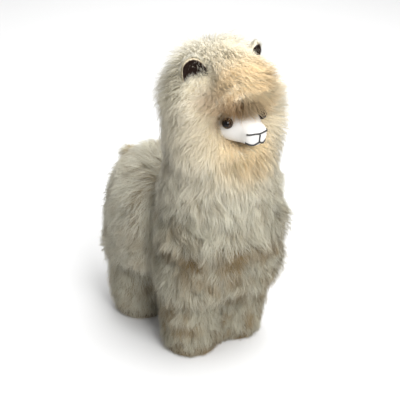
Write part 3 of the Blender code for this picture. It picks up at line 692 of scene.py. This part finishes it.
def fur_material(name, dark):
    """Cream fibre, ochre at the hide, peach on the head; painted light makes roots lighter high up, painted
    shade darkens low tips, the chest's crease and the brown brow.
    """
    made, tree, shader = new_material(name)

    def read(name, output="Fac"):
        return put(tree, "ShaderNodeAttribute", attribute_name=name).outputs[output]

    tip = blended(tree, read("warm"), TIP_CREAM, TIP_PEACH, "RGBA")
    # Painted shade: the tips darker lower down
    tip = blended(tree, read("grey"), tip, TIP_PAINTED_SHADE, "RGBA")
    # Ochre blotches, and painted shade in the crease under the chest fur
    tip = blended(tree, read("stain"), tip, OCHRE_STAIN_AND_SHADE, "RGBA")
    ripe = put(
        tree,
        "ShaderNodeMapRange",
        {"Value": read("along"), "From Min": 0.0, "From Max": RIPE_ALONG},
        interpolation_type="SMOOTHSTEP",
    ).outputs[0]
    # Painted light: the roots lighter higher up, ochre lower down
    root = blended(tree, read("pale"), ROOT_OCHRE, ROOT_PAINTED_LIGHT_PEACH, "RGBA")
    colour = blended(tree, ripe, root, tip, "RGBA")
    # Brown fur and painted shade at the brow; on the ear pile, its own dark colour
    colour = blended(tree, read("brown"), colour, dark, "RGBA")
    darkest, lightest = TONE_RANGE
    tone = put(
        tree, "ShaderNodeMapRange", {"Value": read("shade"), "To Min": darkest, "To Max": lightest}
    ).outputs[0]
    lit = put(tree, "ShaderNodeVectorMath", {0: colour, "Scale": tone}, operation="SCALE").outputs[0]
    facing = tree.nodes.new("ShaderNodeNewGeometry").outputs["Normal"]
    soft = vector_sum(tree, (read("lay", "Vector"), LAY_SHARE), (facing, 1 - LAY_SHARE))
    fill(tree, shader, {"Base Color": lit, "Normal": vector_step(tree, "NORMALIZE", soft)})
    fill(tree, shader, {"Roughness": FIBRE_ROUGHNESS, "Specular IOR Level": FIBRE_SHINE})
    through = put(tree, "ShaderNodeBsdfTranslucent", {"Color": lit}).outputs[0]
    both = put(tree, "ShaderNodeMixShader", {0: FIBRE_GLOW, 1: shader.outputs[0], 2: through}).outputs[0]
    tree.links.new(both, tree.nodes["Material Output"].inputs["Surface"])
    return made


def flattened(arrows, out):
    """The share of arrows that lies along a surface, brought to length 1."""
    return unit(arrows - out * np.sum(arrows * out, axis=1, keepdims=True))


# The spots and heights that the fur is combed and coloured by
FACE_SPOT = MUZZLE_ROOT + (0, -0.008, 0)
CHIN_SPOT = MUZZLE_ROOT + (0, -0.010, -0.026)
FOREHEAD_SPOT = (0, muzzle_low[1] + 0.02, muzzle_high[2] + 0.022)
WHORL = CROWN + (0, 0.042, -0.004)
BROW_HEIGHT = muzzle_high[2] + 0.007
FRINGE_SIZE = (0.023, 0.008)
BROW_X = 0.016
BROW_SIZE = (0.015, 0.009)
BROW_FADE = 0.9
BROW_FADE_EDGE = (-0.004, 0.008)
BROW_DEPTH = 0.8
EYE_SHADES = {"left": 0.5, "right": 1.0}
BELLY_FACING = -0.5
BELLY_HEIGHT = leg_high[2] + 0.022
BELLY_DENSITY = 0.35
UNDERFOOT_FACING = -0.6
UNDERFOOT_HEIGHT = 0.014
DENSER = 0.35
# The crease under the lower edge of the chest fur, and how strongly painted shade darkens it
LEDGE_DROP = 0.004
LEDGE_WIDTH = 0.009
LEDGE_PAINTED_SHADE = 0.30
BLOTCH_SIZE = 0.009
BLOTCH_SHIFT = 7.0
# The next number is painted light: how strongly the roots and the hide lighten higher up
PAINTED_LIGHT_GAIN = 1.2

# Between which two heights or distances each region of the comb and the colours runs into the next
HEAD_EDGE = (head_low[2] - 0.006, head_low[2] + 0.03)
BACK_EDGE = (neck_high[1] - 0.014, neck_high[1] + 0.03)
LEG_EDGE = (leg_high[2] - 0.012, leg_high[2] + 0.014)
FOOT_EDGE = (0.006, 0.028)
FACE_COMB_EDGE = (0.024, 0.060)
SHORT_EDGE = (0.026, 0.050)
TAIL_COMB_EDGE = (0.020, 0.034)
EYE_EDGE = (0.006, 0.017)
CHIN_EDGE = (0.010, 0.034)
CROWN_EDGE = (0.02, 0.05)
WHORL_EDGE = (0.03, 0.07)
DENSE_EDGE = (0.03, 0.06)
FOREHEAD_EDGE = (0.012, 0.042)
UPPER_EDGE = (0.14, 0.24)
LOWER_EDGE = (0.14, 0.22)
CHEST_EDGE = (0.12, 0.20)
# Painted light on the roots and the hide runs in between these heights
PAINTED_LIGHT_EDGE = (0.12, 0.22)
SHIN_EDGE = (-0.015, 0.005)
BLOTCH_EDGE = (-0.1, 0.55)
FRINGE_EDGE = (0.2, 0.7)

# The comb: which way each region's fur is drawn, and how strongly
DOWN_COMB = np.array([0.0, 0.0, -1.0])
HEAD_HANGS_LESS = 0.75
BACK_COMB = np.array([0.0, 0.7, 0.0])
TAIL_COMB = np.array([0.0, 0.4, -1.2])
FRINGE_COMB = np.array([0.0, -2.2, -2.2])
FRINGE_DROP = np.array([0.0, -0.5, -0.8])
WHORL_PULL = 0.9
FACE_PULL = 1.7
PARTING_PULL = 1.8
SWIRL_SIZE = 0.024

# What each region adds to a quality of the fur. "all" is the fur of the neck and everything else before that
SWIRL = {"all": 0.80, "head": -0.30, "back": -0.30}
TRAIL = {"all": 0.016, "head": -0.002, "back": -0.002, "leg": -0.003, "foot": -0.002}
CLUMP = {"all": 0.42, "head": -0.28, "back": -0.16, "whorl": -0.08}
WAVE = {"all": 0.0085, "head": -0.0030, "back": -0.0025, "leg": -0.0020, "foot": -0.0020}
RISE = {"all": 0.40, "head": 0.30, "crown": -0.35, "foot": 0.15}
ROUNDNESS = {"all": 1.0, "head": -0.8, "back": -0.5}
WARM = {"upper": 0.15, "forehead": 0.80, "face": 0.35, "chin": 0.50, "crown": 0.08}
# Painted shade: tips darken on the legs, the lower body, the tail and a little on the back. The ledge gets more
# blotches as painted shade in its crease
PAINTED_SHADE_BY_REGION = {"back": 0.15, "leg": 0.50, "lower": 0.80, "tail": 0.30}
BLOTCHES = {"all": 0.25, "head": -0.17, "ledge": 0.40, "leg": 0.20, "shin": 0.25, "chest": 0.20}
SHORTER = {"parting": 0.65, "tail": 0.3, "fringe": -0.3}
FACE_SHORTER = 0.55
FACE_CALMER = 0.5
# How much less painted shade and painted light the back gets
BACK_LESS_PAINTED_SHADE = 0.8
BACK_LESS_PAINTED_LIGHT = 0.5


def mixed(regions, shares):
    """A quality of the fur at every point: the sum of what the regions there add to it."""
    return sum(share * regions[name] for name, share in shares.items())


def regions_of(points):
    """The regions of the body, each as the share that every point has in it."""
    x, y, z = points.T
    found = {"all": np.ones(len(points)), "head": smooth_share(*HEAD_EDGE, z)}
    found["back"] = smooth_share(*BACK_EDGE, y) * (1 - found["head"])
    found["leg"] = 1 - smooth_share(*LEG_EDGE, z)
    found["foot"] = 1 - smooth_share(*FOOT_EDGE, z)
    found["face"] = near(points, FACE_SPOT, *FACE_COMB_EDGE)
    found["short"] = near(points, FACE_SPOT, *SHORT_EDGE)
    found["tail"] = near(points, TAIL_MIDDLE, *TAIL_COMB_EDGE)
    found["chin"] = near(points, CHIN_SPOT, *CHIN_EDGE)
    found["crown"] = near(points, CROWN, *CROWN_EDGE)
    found["whorl"] = near(points, CROWN, *WHORL_EDGE)
    found["forehead"] = near(points, FOREHEAD_SPOT, *FOREHEAD_EDGE)
    found["upper"] = smooth_share(*UPPER_EDGE, z)
    # Where painted shade darkens the fur: below the head, less on the back
    below_head = (1 - found["head"]) * (1 - smooth_share(*LOWER_EDGE, z))
    found["lower"] = below_head * (1 - BACK_LESS_PAINTED_SHADE * found["back"])
    found["chest"] = (1 - found["back"]) * (1 - smooth_share(*CHEST_EDGE, z))
    above_edge, in_front = apron(points)
    # The crease under the lower edge of the chest fur, which gets painted shade
    found["ledge"] = in_front * hump(above_edge, -LEDGE_DROP, LEDGE_WIDTH)
    found["shin"] = in_front * (1 - smooth_share(*SHIN_EDGE, above_edge))
    in_face = y < HEAD_MIDDLE[1]
    half_width, half_height = FRINGE_SIZE
    fringe = hump(x, 0, half_width) * hump(z, BROW_HEIGHT, half_height) * in_face
    found["fringe"] = smooth_share(*FRINGE_EDGE, fringe)
    # The brow: brown fur and painted shade over the muzzle and around the eyes, deeper by the near eye
    half_width, half_height = BROW_SIZE
    brow = hump(np.abs(x), BROW_X, half_width) * hump(z, BROW_HEIGHT, half_height) * in_face
    brow *= 1 - BROW_FADE * smooth_share(*BROW_FADE_EDGE, x)
    found["parting"] = np.zeros(len(points))
    for side in SIDES:
        brow = np.maximum(brow, EYE_SHADES[side] * near(points, middle("eye_" + side), *EYE_EDGE))
        found["parting"] = np.maximum(found["parting"], near(points, parting(side), *PARTING_FUR_EDGE))
    found["brow"] = brow
    return found


def combed(points, out, regions):
    """The way the fur lies at every point, along the hide and of length 1."""
    comb = DOWN_COMB * (1 - HEAD_HANGS_LESS * regions["head"][:, None])
    comb = comb + unit(points - WHORL) * (regions["head"] * WHORL_PULL)[:, None]
    comb += BACK_COMB * (regions["back"] * (1 - regions["leg"]))[:, None]
    comb += swirls(points, SWIRL_SIZE) * mixed(regions, SWIRL)[:, None]
    comb += unit(points - FACE_SPOT) * (regions["face"] * FACE_PULL)[:, None]
    for side in SIDES:
        spot = parting(side)
        comb += unit(points - spot) * (near(points, spot, *PARTING_FUR_EDGE) * PARTING_PULL)[:, None]
    comb += TAIL_COMB * regions["tail"][:, None]
    comb += FRINGE_COMB * regions["fringe"][:, None]
    return unit(flattened(comb, out) + FRINGE_DROP * regions["fringe"][:, None])


def groom(data):
    """Combs the body: sets the lie, depth, length, clumping and colour of the fur over the pelt."""
    points, out = points_of(data), normals_of(data)
    z = points[:, 2]
    regions = regions_of(points)
    trail = mixed(regions, TRAIL) * (1 - FACE_SHORTER * regions["short"] * (1 - regions["fringe"]))
    for name, share in SHORTER.items():
        trail *= 1 - share * regions[name]
    density = 1 + DENSER * np.maximum(near(points, CROWN, *DENSE_EDGE), regions["parting"])
    density[(out[:, 2] < BELLY_FACING) & (z < BELLY_HEIGHT)] = BELLY_DENSITY
    density[(out[:, 2] < UNDERFOOT_FACING) & (z < UNDERFOOT_HEIGHT)] = 0.0
    # Ochre blotches at random, with more blotches and painted shade in the crease under the chest fur
    blotch = smooth_share(*BLOTCH_EDGE, mottled(points, BLOTCH_SIZE, BLOTCH_SHIFT))
    stain = blotch * mixed(regions, BLOTCHES) + LEDGE_PAINTED_SHADE * regions["ledge"]
    # Painted light: roots and hide lighter higher up, less so on the back
    pale = PAINTED_LIGHT_GAIN * smooth_share(*PAINTED_LIGHT_EDGE, z) * (1 - BACK_LESS_PAINTED_LIGHT * regions["back"])
    set_values(
        data,
        out=out,
        comb=combed(points, out, regions),
        trail=trail,
        rise=mixed(regions, RISE),
        clump=mixed(regions, CLUMP),
        wave=mixed(regions, WAVE) * (1 - FACE_CALMER * regions["short"]),
        density=density,
        warm=np.clip(mixed(regions, WARM), 0, 1),
        # painted shade: darker tips lower down
        grey=np.clip(mixed(regions, PAINTED_SHADE_BY_REGION), 0, 1),
        stain=np.clip(stain, 0, 1),
        pale=np.clip(pale, 0, 1),
        # brown fur and painted shade at the brow and around the eyes
        brown=BROW_DEPTH * regions["brow"],
        roundness=mixed(regions, ROUNDNESS),
    )


def grow(name, pelt, finish, chosen, seed, changes=None):
    """Grows the fur of one region of a pelt as its own piece. Chosen marks the vertices it grows from."""
    data = pelt.data.copy()
    density = np.empty(len(data.vertices))
    data.attributes["density"].data.foreach_get("value", density)
    set_values(data, sown=density * chosen)
    made = standing(name, data)
    modifier = made.modifiers.new("fur", "NODES")
    modifier.node_group = fur_nodes
    sizes = {**FUR_SIZES, **(changes or {}), "Seed": seed, "Fur": finish}
    for socket in fur_nodes.interface.items_tree:
        if socket.in_out == "INPUT" and socket.name in sizes:
            modifier[socket.identifier] = sizes[socket.name]
    evaluated = made.evaluated_get(bpy.context.evaluated_depsgraph_get())
    grown = bpy.data.meshes.new_from_object(evaluated)
    made.modifiers.remove(modifier)
    made.data = grown
    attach(made, "root")
    return made


# Where one region of fur, as a piece of its own, ends and the next begins
TAIL_REACH = 0.021
HEAD_START = head_low[2] + 0.012
CROWN_START = HEAD_MIDDLE[2] + 0.010
THROAT_START = 0.145
LEG_TOP = leg_high[2] + 0.004
TORSO_START_Y = neck_high[1] - 0.010
MIDDLE_Y = (leg_low[1] + corners("leg_rear_left")[1][1]) / 2

fur_nodes = fur_tree()
fur = fur_material("alpaca fur", BROW_BROWN_AND_SHADE)
groom(body_pelt.data)
x, y, z = places.T
is_tail = np.linalg.norm(places - TAIL_MIDDLE, axis=1) < TAIL_REACH
is_head = z > HEAD_START
is_crown = is_head & (z > CROWN_START)
is_leg = z < LEG_TOP
is_torso = (y > TORSO_START_Y) & ~is_head & ~is_tail & ~is_leg
is_neck = ~is_head & ~is_torso & ~is_tail & ~is_leg
is_throat = is_neck & (z > THROAT_START)
regions = [
    ("fur_crown", is_crown, "head"),
    ("fur_cheeks", is_head & ~is_crown, "head"),
    ("fur_throat", is_throat, "neck"),
    ("fur_chest", is_neck & ~is_throat, "neck"),
    ("fur_flank_left", is_torso & (x > 0), "torso"),
    ("fur_flank_right", is_torso & (x <= 0), "torso"),
    ("fur_tail", is_tail, "tail"),
]
for node in LEG_NODES:
    sideways = x > 0 if "left" in node else x <= 0
    endwise = y > MIDDLE_Y if "rear" in node else y <= MIDDLE_Y
    regions.append(("fur_" + node, is_leg & sideways & endwise, node))
for name, chosen, node in regions:
    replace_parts(grow(name, body_pelt, fur, chosen.astype(float), FUR_SEED), node)

# Muzzle
# A small cone of hide, shorn to a smooth white nap, stuffed firm and sewn into the hollow of the face.
MUZZLE_VOXEL = 0.0009
MUZZLE_SMOOTHING = 4
MUZZLE_PUFF = 0.0006
NAP_WHITE = (0.67, 0.66, 0.64, 1.0)
NAP_SHADE = (0.59, 0.575, 0.55, 1.0)
NAP_STRENGTH = 0.7
NAP_SHINE = 0.25
NAP_SHEEN = 0.25
NAP_SHEEN_ROUGHNESS = 0.4


def nap_group():
    """A shader group for shorn hide: two mottled colours and the bump of a short nap."""
    group = bpy.data.node_groups.new("short nap", "ShaderNodeTree")
    face = group.interface
    for name, kind in (
        ("Colour", "NodeSocketColor"),
        ("Shade", "NodeSocketColor"),
        ("Mottle Scale", "NodeSocketFloat"),
        ("Nap Scale", "NodeSocketFloat"),
        ("Nap Height", "NodeSocketFloat"),
    ):
        face.new_socket(name, in_out="INPUT", socket_type=kind)
    face.new_socket("Colour", in_out="OUTPUT", socket_type="NodeSocketColor")
    face.new_socket("Normal", in_out="OUTPUT", socket_type="NodeSocketVector")
    given = group.nodes.new("NodeGroupInput").outputs
    place = group.nodes.new("ShaderNodeTexCoord").outputs["Object"]
    mottle = put(
        group, "ShaderNodeTexNoise", {"Vector": place, "Scale": given["Mottle Scale"], "Detail": 4.0}
    ).outputs[0]
    nap = put(
        group, "ShaderNodeTexNoise", {"Vector": place, "Scale": given["Nap Scale"], "Detail": 3.0}
    ).outputs[0]
    bump = put(
        group, "ShaderNodeBump", {"Height": nap, "Distance": given["Nap Height"], "Strength": NAP_STRENGTH}
    )
    result = group.nodes.new("NodeGroupOutput")
    group.links.new(blended(group, mottle, given["Colour"], given["Shade"], "RGBA"), result.inputs["Colour"])
    group.links.new(bump.outputs[0], result.inputs["Normal"])
    return group


nap_nodes = nap_group()


def napped_material(name, colour, shade, mottle_scale, nap_scale, nap_height, roughness):
    """Hide with a short nap in two mottled colours."""
    made, tree, shader = new_material(name)
    nap = put(
        tree,
        "ShaderNodeGroup",
        {
            "Colour": colour,
            "Shade": shade,
            "Mottle Scale": mottle_scale,
            "Nap Scale": nap_scale,
            "Nap Height": nap_height,
        },
        node_tree=nap_nodes,
    )
    fill(tree, shader, {"Base Color": nap.outputs["Colour"], "Normal": nap.outputs["Normal"]})
    fill(tree, shader, {"Roughness": roughness, "Specular IOR Level": NAP_SHINE})
    fill(tree, shader, {"Sheen Weight": NAP_SHEEN, "Sheen Roughness": NAP_SHEEN_ROUGHNESS})
    return made


def soft_piece(name, node, voxel, rounds, puff, finish, lean=0.0):
    """A stuffed or folded piece of hide in place of a CAD node: smoothed, puffed out and moved a little."""
    made = joined_copy(name, (node,))
    remeshed(made, voxel, rounds)
    set_points(made.data, points_of(made.data) + normals_of(made.data) * puff + lean)
    made.data.materials.clear()
    made.data.materials.append(finish)
    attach(made, "root")
    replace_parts(made, node)
    return made


white_hide = napped_material(
    "shorn white hide", NAP_WHITE, NAP_SHADE,
    mottle_scale=90, nap_scale=2400, nap_height=0.00012, roughness=0.6,
)
muzzle = soft_piece(
    "muzzle_hide", "muzzle", MUZZLE_VOXEL, MUZZLE_SMOOTHING, MUZZLE_PUFF, white_hide
)

# Eyes
# Domed resin beads, dark brown with a black pupil under a clear coat. A shank holds each one in the side of
# the muzzle.
EYE_SEGMENTS = 40
EYE_RINGS = 24
EYE_BULGE = 0.10
PUPIL_EDGE = 0.80
IRIS_EDGE = 0.45
EDGE_SOFTNESS = 0.05
EYE_FLATTENING = 0.5
GAZE = (0.85, -0.5, 0.15)
BEAD_ROUGHNESS = 0.3
COAT_IOR = 1.33
COAT_ROUGHNESS = 0.03
PUPIL_BLACK = (0.003, 0.002, 0.002, 1.0)
IRIS_BROWN = (0.028, 0.014, 0.007, 1.0)
RIM_BROWN = (0.012, 0.007, 0.005, 1.0)


def eye_material():
    """Brown resin: a black pupil in a brown iris with a darker rim, all under a clear coat."""
    made, tree, shader = new_material("brown bead")
    facing = put(tree, "ShaderNodeAttribute", attribute_name="facing").outputs["Fac"]

    def past(edge):
        return put(
            tree,
            "ShaderNodeMapRange",
            {"Value": facing, "From Min": edge - EDGE_SOFTNESS, "From Max": edge + EDGE_SOFTNESS},
            interpolation_type="SMOOTHSTEP",
        ).outputs[0]

    iris = blended(tree, past(IRIS_EDGE), RIM_BROWN, IRIS_BROWN, "RGBA")
    colour = blended(tree, past(PUPIL_EDGE), iris, PUPIL_BLACK, "RGBA")
    fill(tree, shader, {"Base Color": colour, "Roughness": BEAD_ROUGHNESS, "Specular IOR Level": 0.0})
    fill(tree, shader, {"Coat Weight": 1.0, "Coat IOR": COAT_IOR, "Coat Roughness": COAT_ROUGHNESS})
    return made


bead = eye_material()
for side in SIDES:
    low, high = corners("eye_" + side)
    centre, radius = (low + high) / 2, (high - low).max() / 2
    gaze = unit(to_side(GAZE, centre[0]))
    ball = bmesh.new()
    bmesh.ops.create_uvsphere(ball, u_segments=EYE_SEGMENTS, v_segments=EYE_RINGS, radius=radius)
    data = bpy.data.meshes.new("eye_bead_" + side)
    ball.to_mesh(data)
    ball.free()
    points = points_of(data)
    facing = np.clip(points @ gaze / radius, 0, 1)
    swell = 1 + EYE_BULGE * (facing**3 - EYE_FLATTENING * facing)
    set_points(data, points * swell[:, None] + centre)
    set_values(data, facing=facing)
    data.shade_smooth()
    data.materials.append(bead)
    eye = standing("eye_bead_" + side, data)
    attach(eye, "root")
    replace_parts(eye, "eye_" + side)

# Nose and mouth
# Black embroidery thread in long stitches over the tip of the muzzle, laid in two plies.
THREAD_BLACK = (0.010, 0.009, 0.009, 1.0)
THREAD_SHADE = (0.035, 0.032, 0.032, 1.0)
PLY_SCALE = 900.0
PLY_HEIGHT = 0.0002
PLY_STRENGTH = 0.8
THREAD_ROUGHNESS = 0.55
THREAD_SWELL = 0.00030


def thread_material():
    """Black thread with the slanted ridges of its twist."""
    made, tree, shader = new_material("black thread")
    place = tree.nodes.new("ShaderNodeTexCoord").outputs["Object"]
    bands = {"wave_type": "BANDS", "bands_direction": "DIAGONAL"}
    plies = put(tree, "ShaderNodeTexWave", {"Vector": place, "Scale": PLY_SCALE}, **bands).outputs["Fac"]
    colour = blended(tree, plies, THREAD_BLACK, THREAD_SHADE, "RGBA")
    bump = put(tree, "ShaderNodeBump", {"Height": plies, "Distance": PLY_HEIGHT, "Strength": PLY_STRENGTH})
    fill(tree, shader, {"Base Color": colour, "Normal": bump.outputs[0], "Roughness": THREAD_ROUGHNESS})
    return made


thread = thread_material()
for node in ("nose_stitch", "lip_stitch", "mouth_stitch"):
    stitch = joined_copy(node + "_thread", (node,))
    set_points(stitch.data, points_of(stitch.data) + normals_of(stitch.data) * THREAD_SWELL)
    stitch.data.materials.clear()
    stitch.data.materials.append(thread)
    stitch.data.shade_smooth()
    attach(stitch, "root")
    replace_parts(stitch, node)

# Ears
# Two cupped leaves of the pelt, furred outside and lined with dark napped hide, sewn upright into slits in the
# crown. Long pale hairs from the inner and lower edges fall across the lining.
EAR_VOXEL = 0.0006
EAR_SMOOTHING = 3
EAR_PUFF = 0.0003
LINING_VOXEL = 0.0005
LINING_PUFF = 0.0001
LINING_SPREAD = 1.09
EAR_HIDE = (0.72, 0.63, 0.47, 1.0)
EAR_HIDE_SHADE = (0.60, 0.51, 0.36, 1.0)
LINING_BROWN = (0.050, 0.028, 0.021, 1.0)
LINING_BLACK = (0.022, 0.014, 0.012, 1.0)
EAR_END_SHARE = 20
OUTER_FACING = 0.35
INNER_FACING = 0.1
INNER_WISP_EDGE = (0.65, 0.95)
LOWER_WISP_EDGE = (0.10, 0.40)
INNER_WISPS = 0.20
LOWER_WISPS = 0.60
WISP_SLANT = 0.5
EAR_FUR_SIZES = {
    "Strands per Area": 2600000.0,
    "Tufts per Area": 400000.0,
    "Locks per Area": 90000.0,
    "Half Width": 0.00018,
    "Wave Size": 0.006,
}
EAR_PILE_SIZES = {
    "Strands per Area": 5000000.0,
    "Tufts per Area": 700000.0,
    "Locks per Area": 150000.0,
    "Half Width": 0.00014,
    "Wave Size": 0.004,
}
EAR_WISP_SIZES = {
    "Strands per Area": 2600000.0,
    "Tufts per Area": 500000.0,
    "Locks per Area": 150000.0,
    "Half Width": 0.00016,
    "Wave Size": 0.008,
}


def lay_fur(data, comb, loft, trail, brown=0.0, wave=0.002):
    """Sets the lie of the fur on a small piece. Loft and trail are its height and length."""
    out = normals_of(data)
    even = np.ones(len(out))
    values = {"loft": loft, "trail": trail, "rise": 0.4, "clump": 0.3, "wave": wave, "density": 1.0}
    # Roots lightened by painted light as on the head, and no painted shade
    values.update(warm=0.15, grey=0.0, stain=0.0, brown=brown, pale=0.8, roundness=1.0)
    set_values(data, out=out, comb=flattened(np.tile(comb, (len(out), 1)), out))
    set_values(data, **{name: even * value for name, value in values.items()})


def share_along(points, direction):
    """How far along a direction each point is, from 0 to 1."""
    along = points @ direction
    return (along - along.min()) / np.ptp(along)


ear_hide = napped_material(
    "ear hide", EAR_HIDE, EAR_HIDE_SHADE,
    mottle_scale=200, nap_scale=2600, nap_height=0.0002, roughness=0.8,
)
lining_hide = napped_material(
    "dark ear lining", LINING_BROWN, LINING_BLACK,
    mottle_scale=260, nap_scale=2600, nap_height=0.0003, roughness=0.75,
)
dark_pile = fur_material("dark ear pile", LINING_BROWN)
for seed, side in enumerate(SIDES, start=FUR_SEED + 1):
    ear, lining, lean = "ear_" + side, "ear_lining_" + side, lean_of(side)
    shell = soft_piece("ear_shell_" + side, ear, EAR_VOXEL, EAR_SMOOTHING, EAR_PUFF, ear_hide, lean)
    inside = soft_piece(
        "ear_inside_" + side, lining, LINING_VOXEL, EAR_SMOOTHING, LINING_PUFF, lining_hide, lean
    )
    points = points_of(inside.data)
    centre = points.mean(axis=0)
    set_points(inside.data, centre + (points - centre) * LINING_SPREAD)
    front = unit(middle(lining) - middle(ear))
    points = points_of(shell.data)
    ordered = points[np.argsort(points[:, 2])]
    count = len(points) // EAR_END_SHARE
    upward = unit(ordered[-count:].mean(axis=0) - ordered[:count].mean(axis=0))
    inward = np.array([-np.sign(points[:, 0].mean()), 0.0, 0.0])
    outer = (normals_of(shell.data) @ front < OUTER_FACING).astype(float)
    lay_fur(shell.data, upward, loft=0.0020, trail=0.0055)
    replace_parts(grow("ear_fur_" + side, shell, fur, outer, seed, changes=EAR_FUR_SIZES), ear)
    lay_fur(inside.data, upward, loft=0.0007, trail=0.0016, brown=1.0, wave=0.0004)
    forward = (normals_of(inside.data) @ front > INNER_FACING).astype(float)
    pile = grow("ear_pile_" + side, inside, dark_pile, forward, seed, EAR_PILE_SIZES)
    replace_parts(pile, lining)
    points = points_of(inside.data)
    inner = smooth_share(*INNER_WISP_EDGE, share_along(points, inward))
    lower = 1 - smooth_share(*LOWER_WISP_EDGE, share_along(points, upward))
    lay_fur(inside.data, upward - inward * WISP_SLANT, loft=0.0025, trail=0.0090, wave=0.004)
    chosen = forward * np.maximum(inner * INNER_WISPS, lower * LOWER_WISPS)
    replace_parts(grow("ear_wisps_" + side, inside, fur, chosen, seed, changes=EAR_WISP_SIZES), lining)

# Soles
# A flat disc of tan hide is sewn under each foot, rough side out, so that the toy stands.
SOLE_TAN = (0.34, 0.26, 0.17, 1.0)
SOLE_SHADE = (0.22, 0.16, 0.10, 1.0)

sole_hide = napped_material(
    "tan hide", SOLE_TAN, SOLE_SHADE,
    mottle_scale=120, nap_scale=1500, nap_height=0.0004, roughness=0.85,
)
for node in LEG_NODES:
    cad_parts[node.replace("leg", "sole")].material_slots[0].material = sole_hide

# Studio
# A white sweep under soft light from above and from the front, with a third light on the paper behind the toy.
# The camera stands where the photograph was taken.
CAMERA_TURN = math.radians(35.3)
CAMERA_RISE = math.radians(25.2)
CAMERA_DISTANCE = 1.2
FOCAL_PIXELS = 1187
FRAME_PIXELS = 400
SENSOR_WIDTH = 36.0
TARGET_HEIGHT = 0.16
TARGET_SHIFT = -0.001
feet_y = (middle("sole_front_left")[1] + middle("sole_rear_left")[1]) / 2
TARGET = Vector((0, feet_y + TARGET_SHIFT, TARGET_HEIGHT))
TARGET_PIXEL = (187, 181)
PAPER_HALF_SIZE = 6.0
PAPER_WHITE = (0.64, 0.64, 0.64, 1.0)
PAPER_ROUGHNESS = 0.9
WORLD_LIGHT = 0.44

away = Vector(
    (
        -math.sin(CAMERA_TURN) * math.cos(CAMERA_RISE),
        -math.cos(CAMERA_TURN) * math.cos(CAMERA_RISE),
        math.sin(CAMERA_RISE),
    )
)
camera_data = bpy.data.cameras.new("camera")
camera_data.sensor_width = SENSOR_WIDTH
camera_data.lens = FOCAL_PIXELS / FRAME_PIXELS * SENSOR_WIDTH
camera = standing("camera", camera_data)
camera.location = TARGET + away * CAMERA_DISTANCE
look = (-away).to_track_quat("-Z", "Y")
per_pixel = CAMERA_DISTANCE / FOCAL_PIXELS
right, up = look @ Vector((1, 0, 0)), look @ Vector((0, 1, 0))
aim = TARGET + right * (FRAME_PIXELS / 2 - TARGET_PIXEL[0]) * per_pixel
aim -= up * (FRAME_PIXELS / 2 - TARGET_PIXEL[1]) * per_pixel
camera.rotation_euler = (aim - camera.location).to_track_quat("-Z", "Y").to_euler()
bpy.context.scene.camera = camera

floor_data = bpy.data.meshes.new("floor")
floor_mesh = bmesh.new()
bmesh.ops.create_grid(floor_mesh, x_segments=1, y_segments=1, size=PAPER_HALF_SIZE)
floor_mesh.to_mesh(floor_data)
floor_mesh.free()
floor = standing("floor", floor_data)
paper, tree, shader = new_material("white paper")
fill(tree, shader, {"Base Color": PAPER_WHITE, "Roughness": PAPER_ROUGHNESS})
floor_data.materials.append(paper)


def soft_light(name, place, size, watts, aim):
    """A square softbox that faces its aim."""
    data = bpy.data.lights.new(name, "AREA")
    data.shape = "SQUARE"
    data.size = size
    data.energy = watts
    light = standing(name, data)
    light.location = place
    light.rotation_euler = (aim - Vector(place)).to_track_quat("-Z", "Y").to_euler()


soft_light("top", place=(0.15, -0.25, 1.1), size=0.9, watts=13.0, aim=TARGET)
soft_light("front", place=(-0.20, -0.88, 0.80), size=0.5, watts=12.5, aim=TARGET)
soft_light("back", place=(0.55, 0.8, 1.0), size=1.2, watts=12, aim=Vector((0.55, 0.8, 0)))
world = bpy.data.worlds.new("studio")
world.use_nodes = True
world.node_tree.nodes["Background"].inputs["Color"].default_value = (1.0, 1.0, 1.0, 1.0)
world.node_tree.nodes["Background"].inputs["Strength"].default_value = WORLD_LIGHT
bpy.context.scene.world = world
bpy.context.scene.view_settings.view_transform = "Standard"
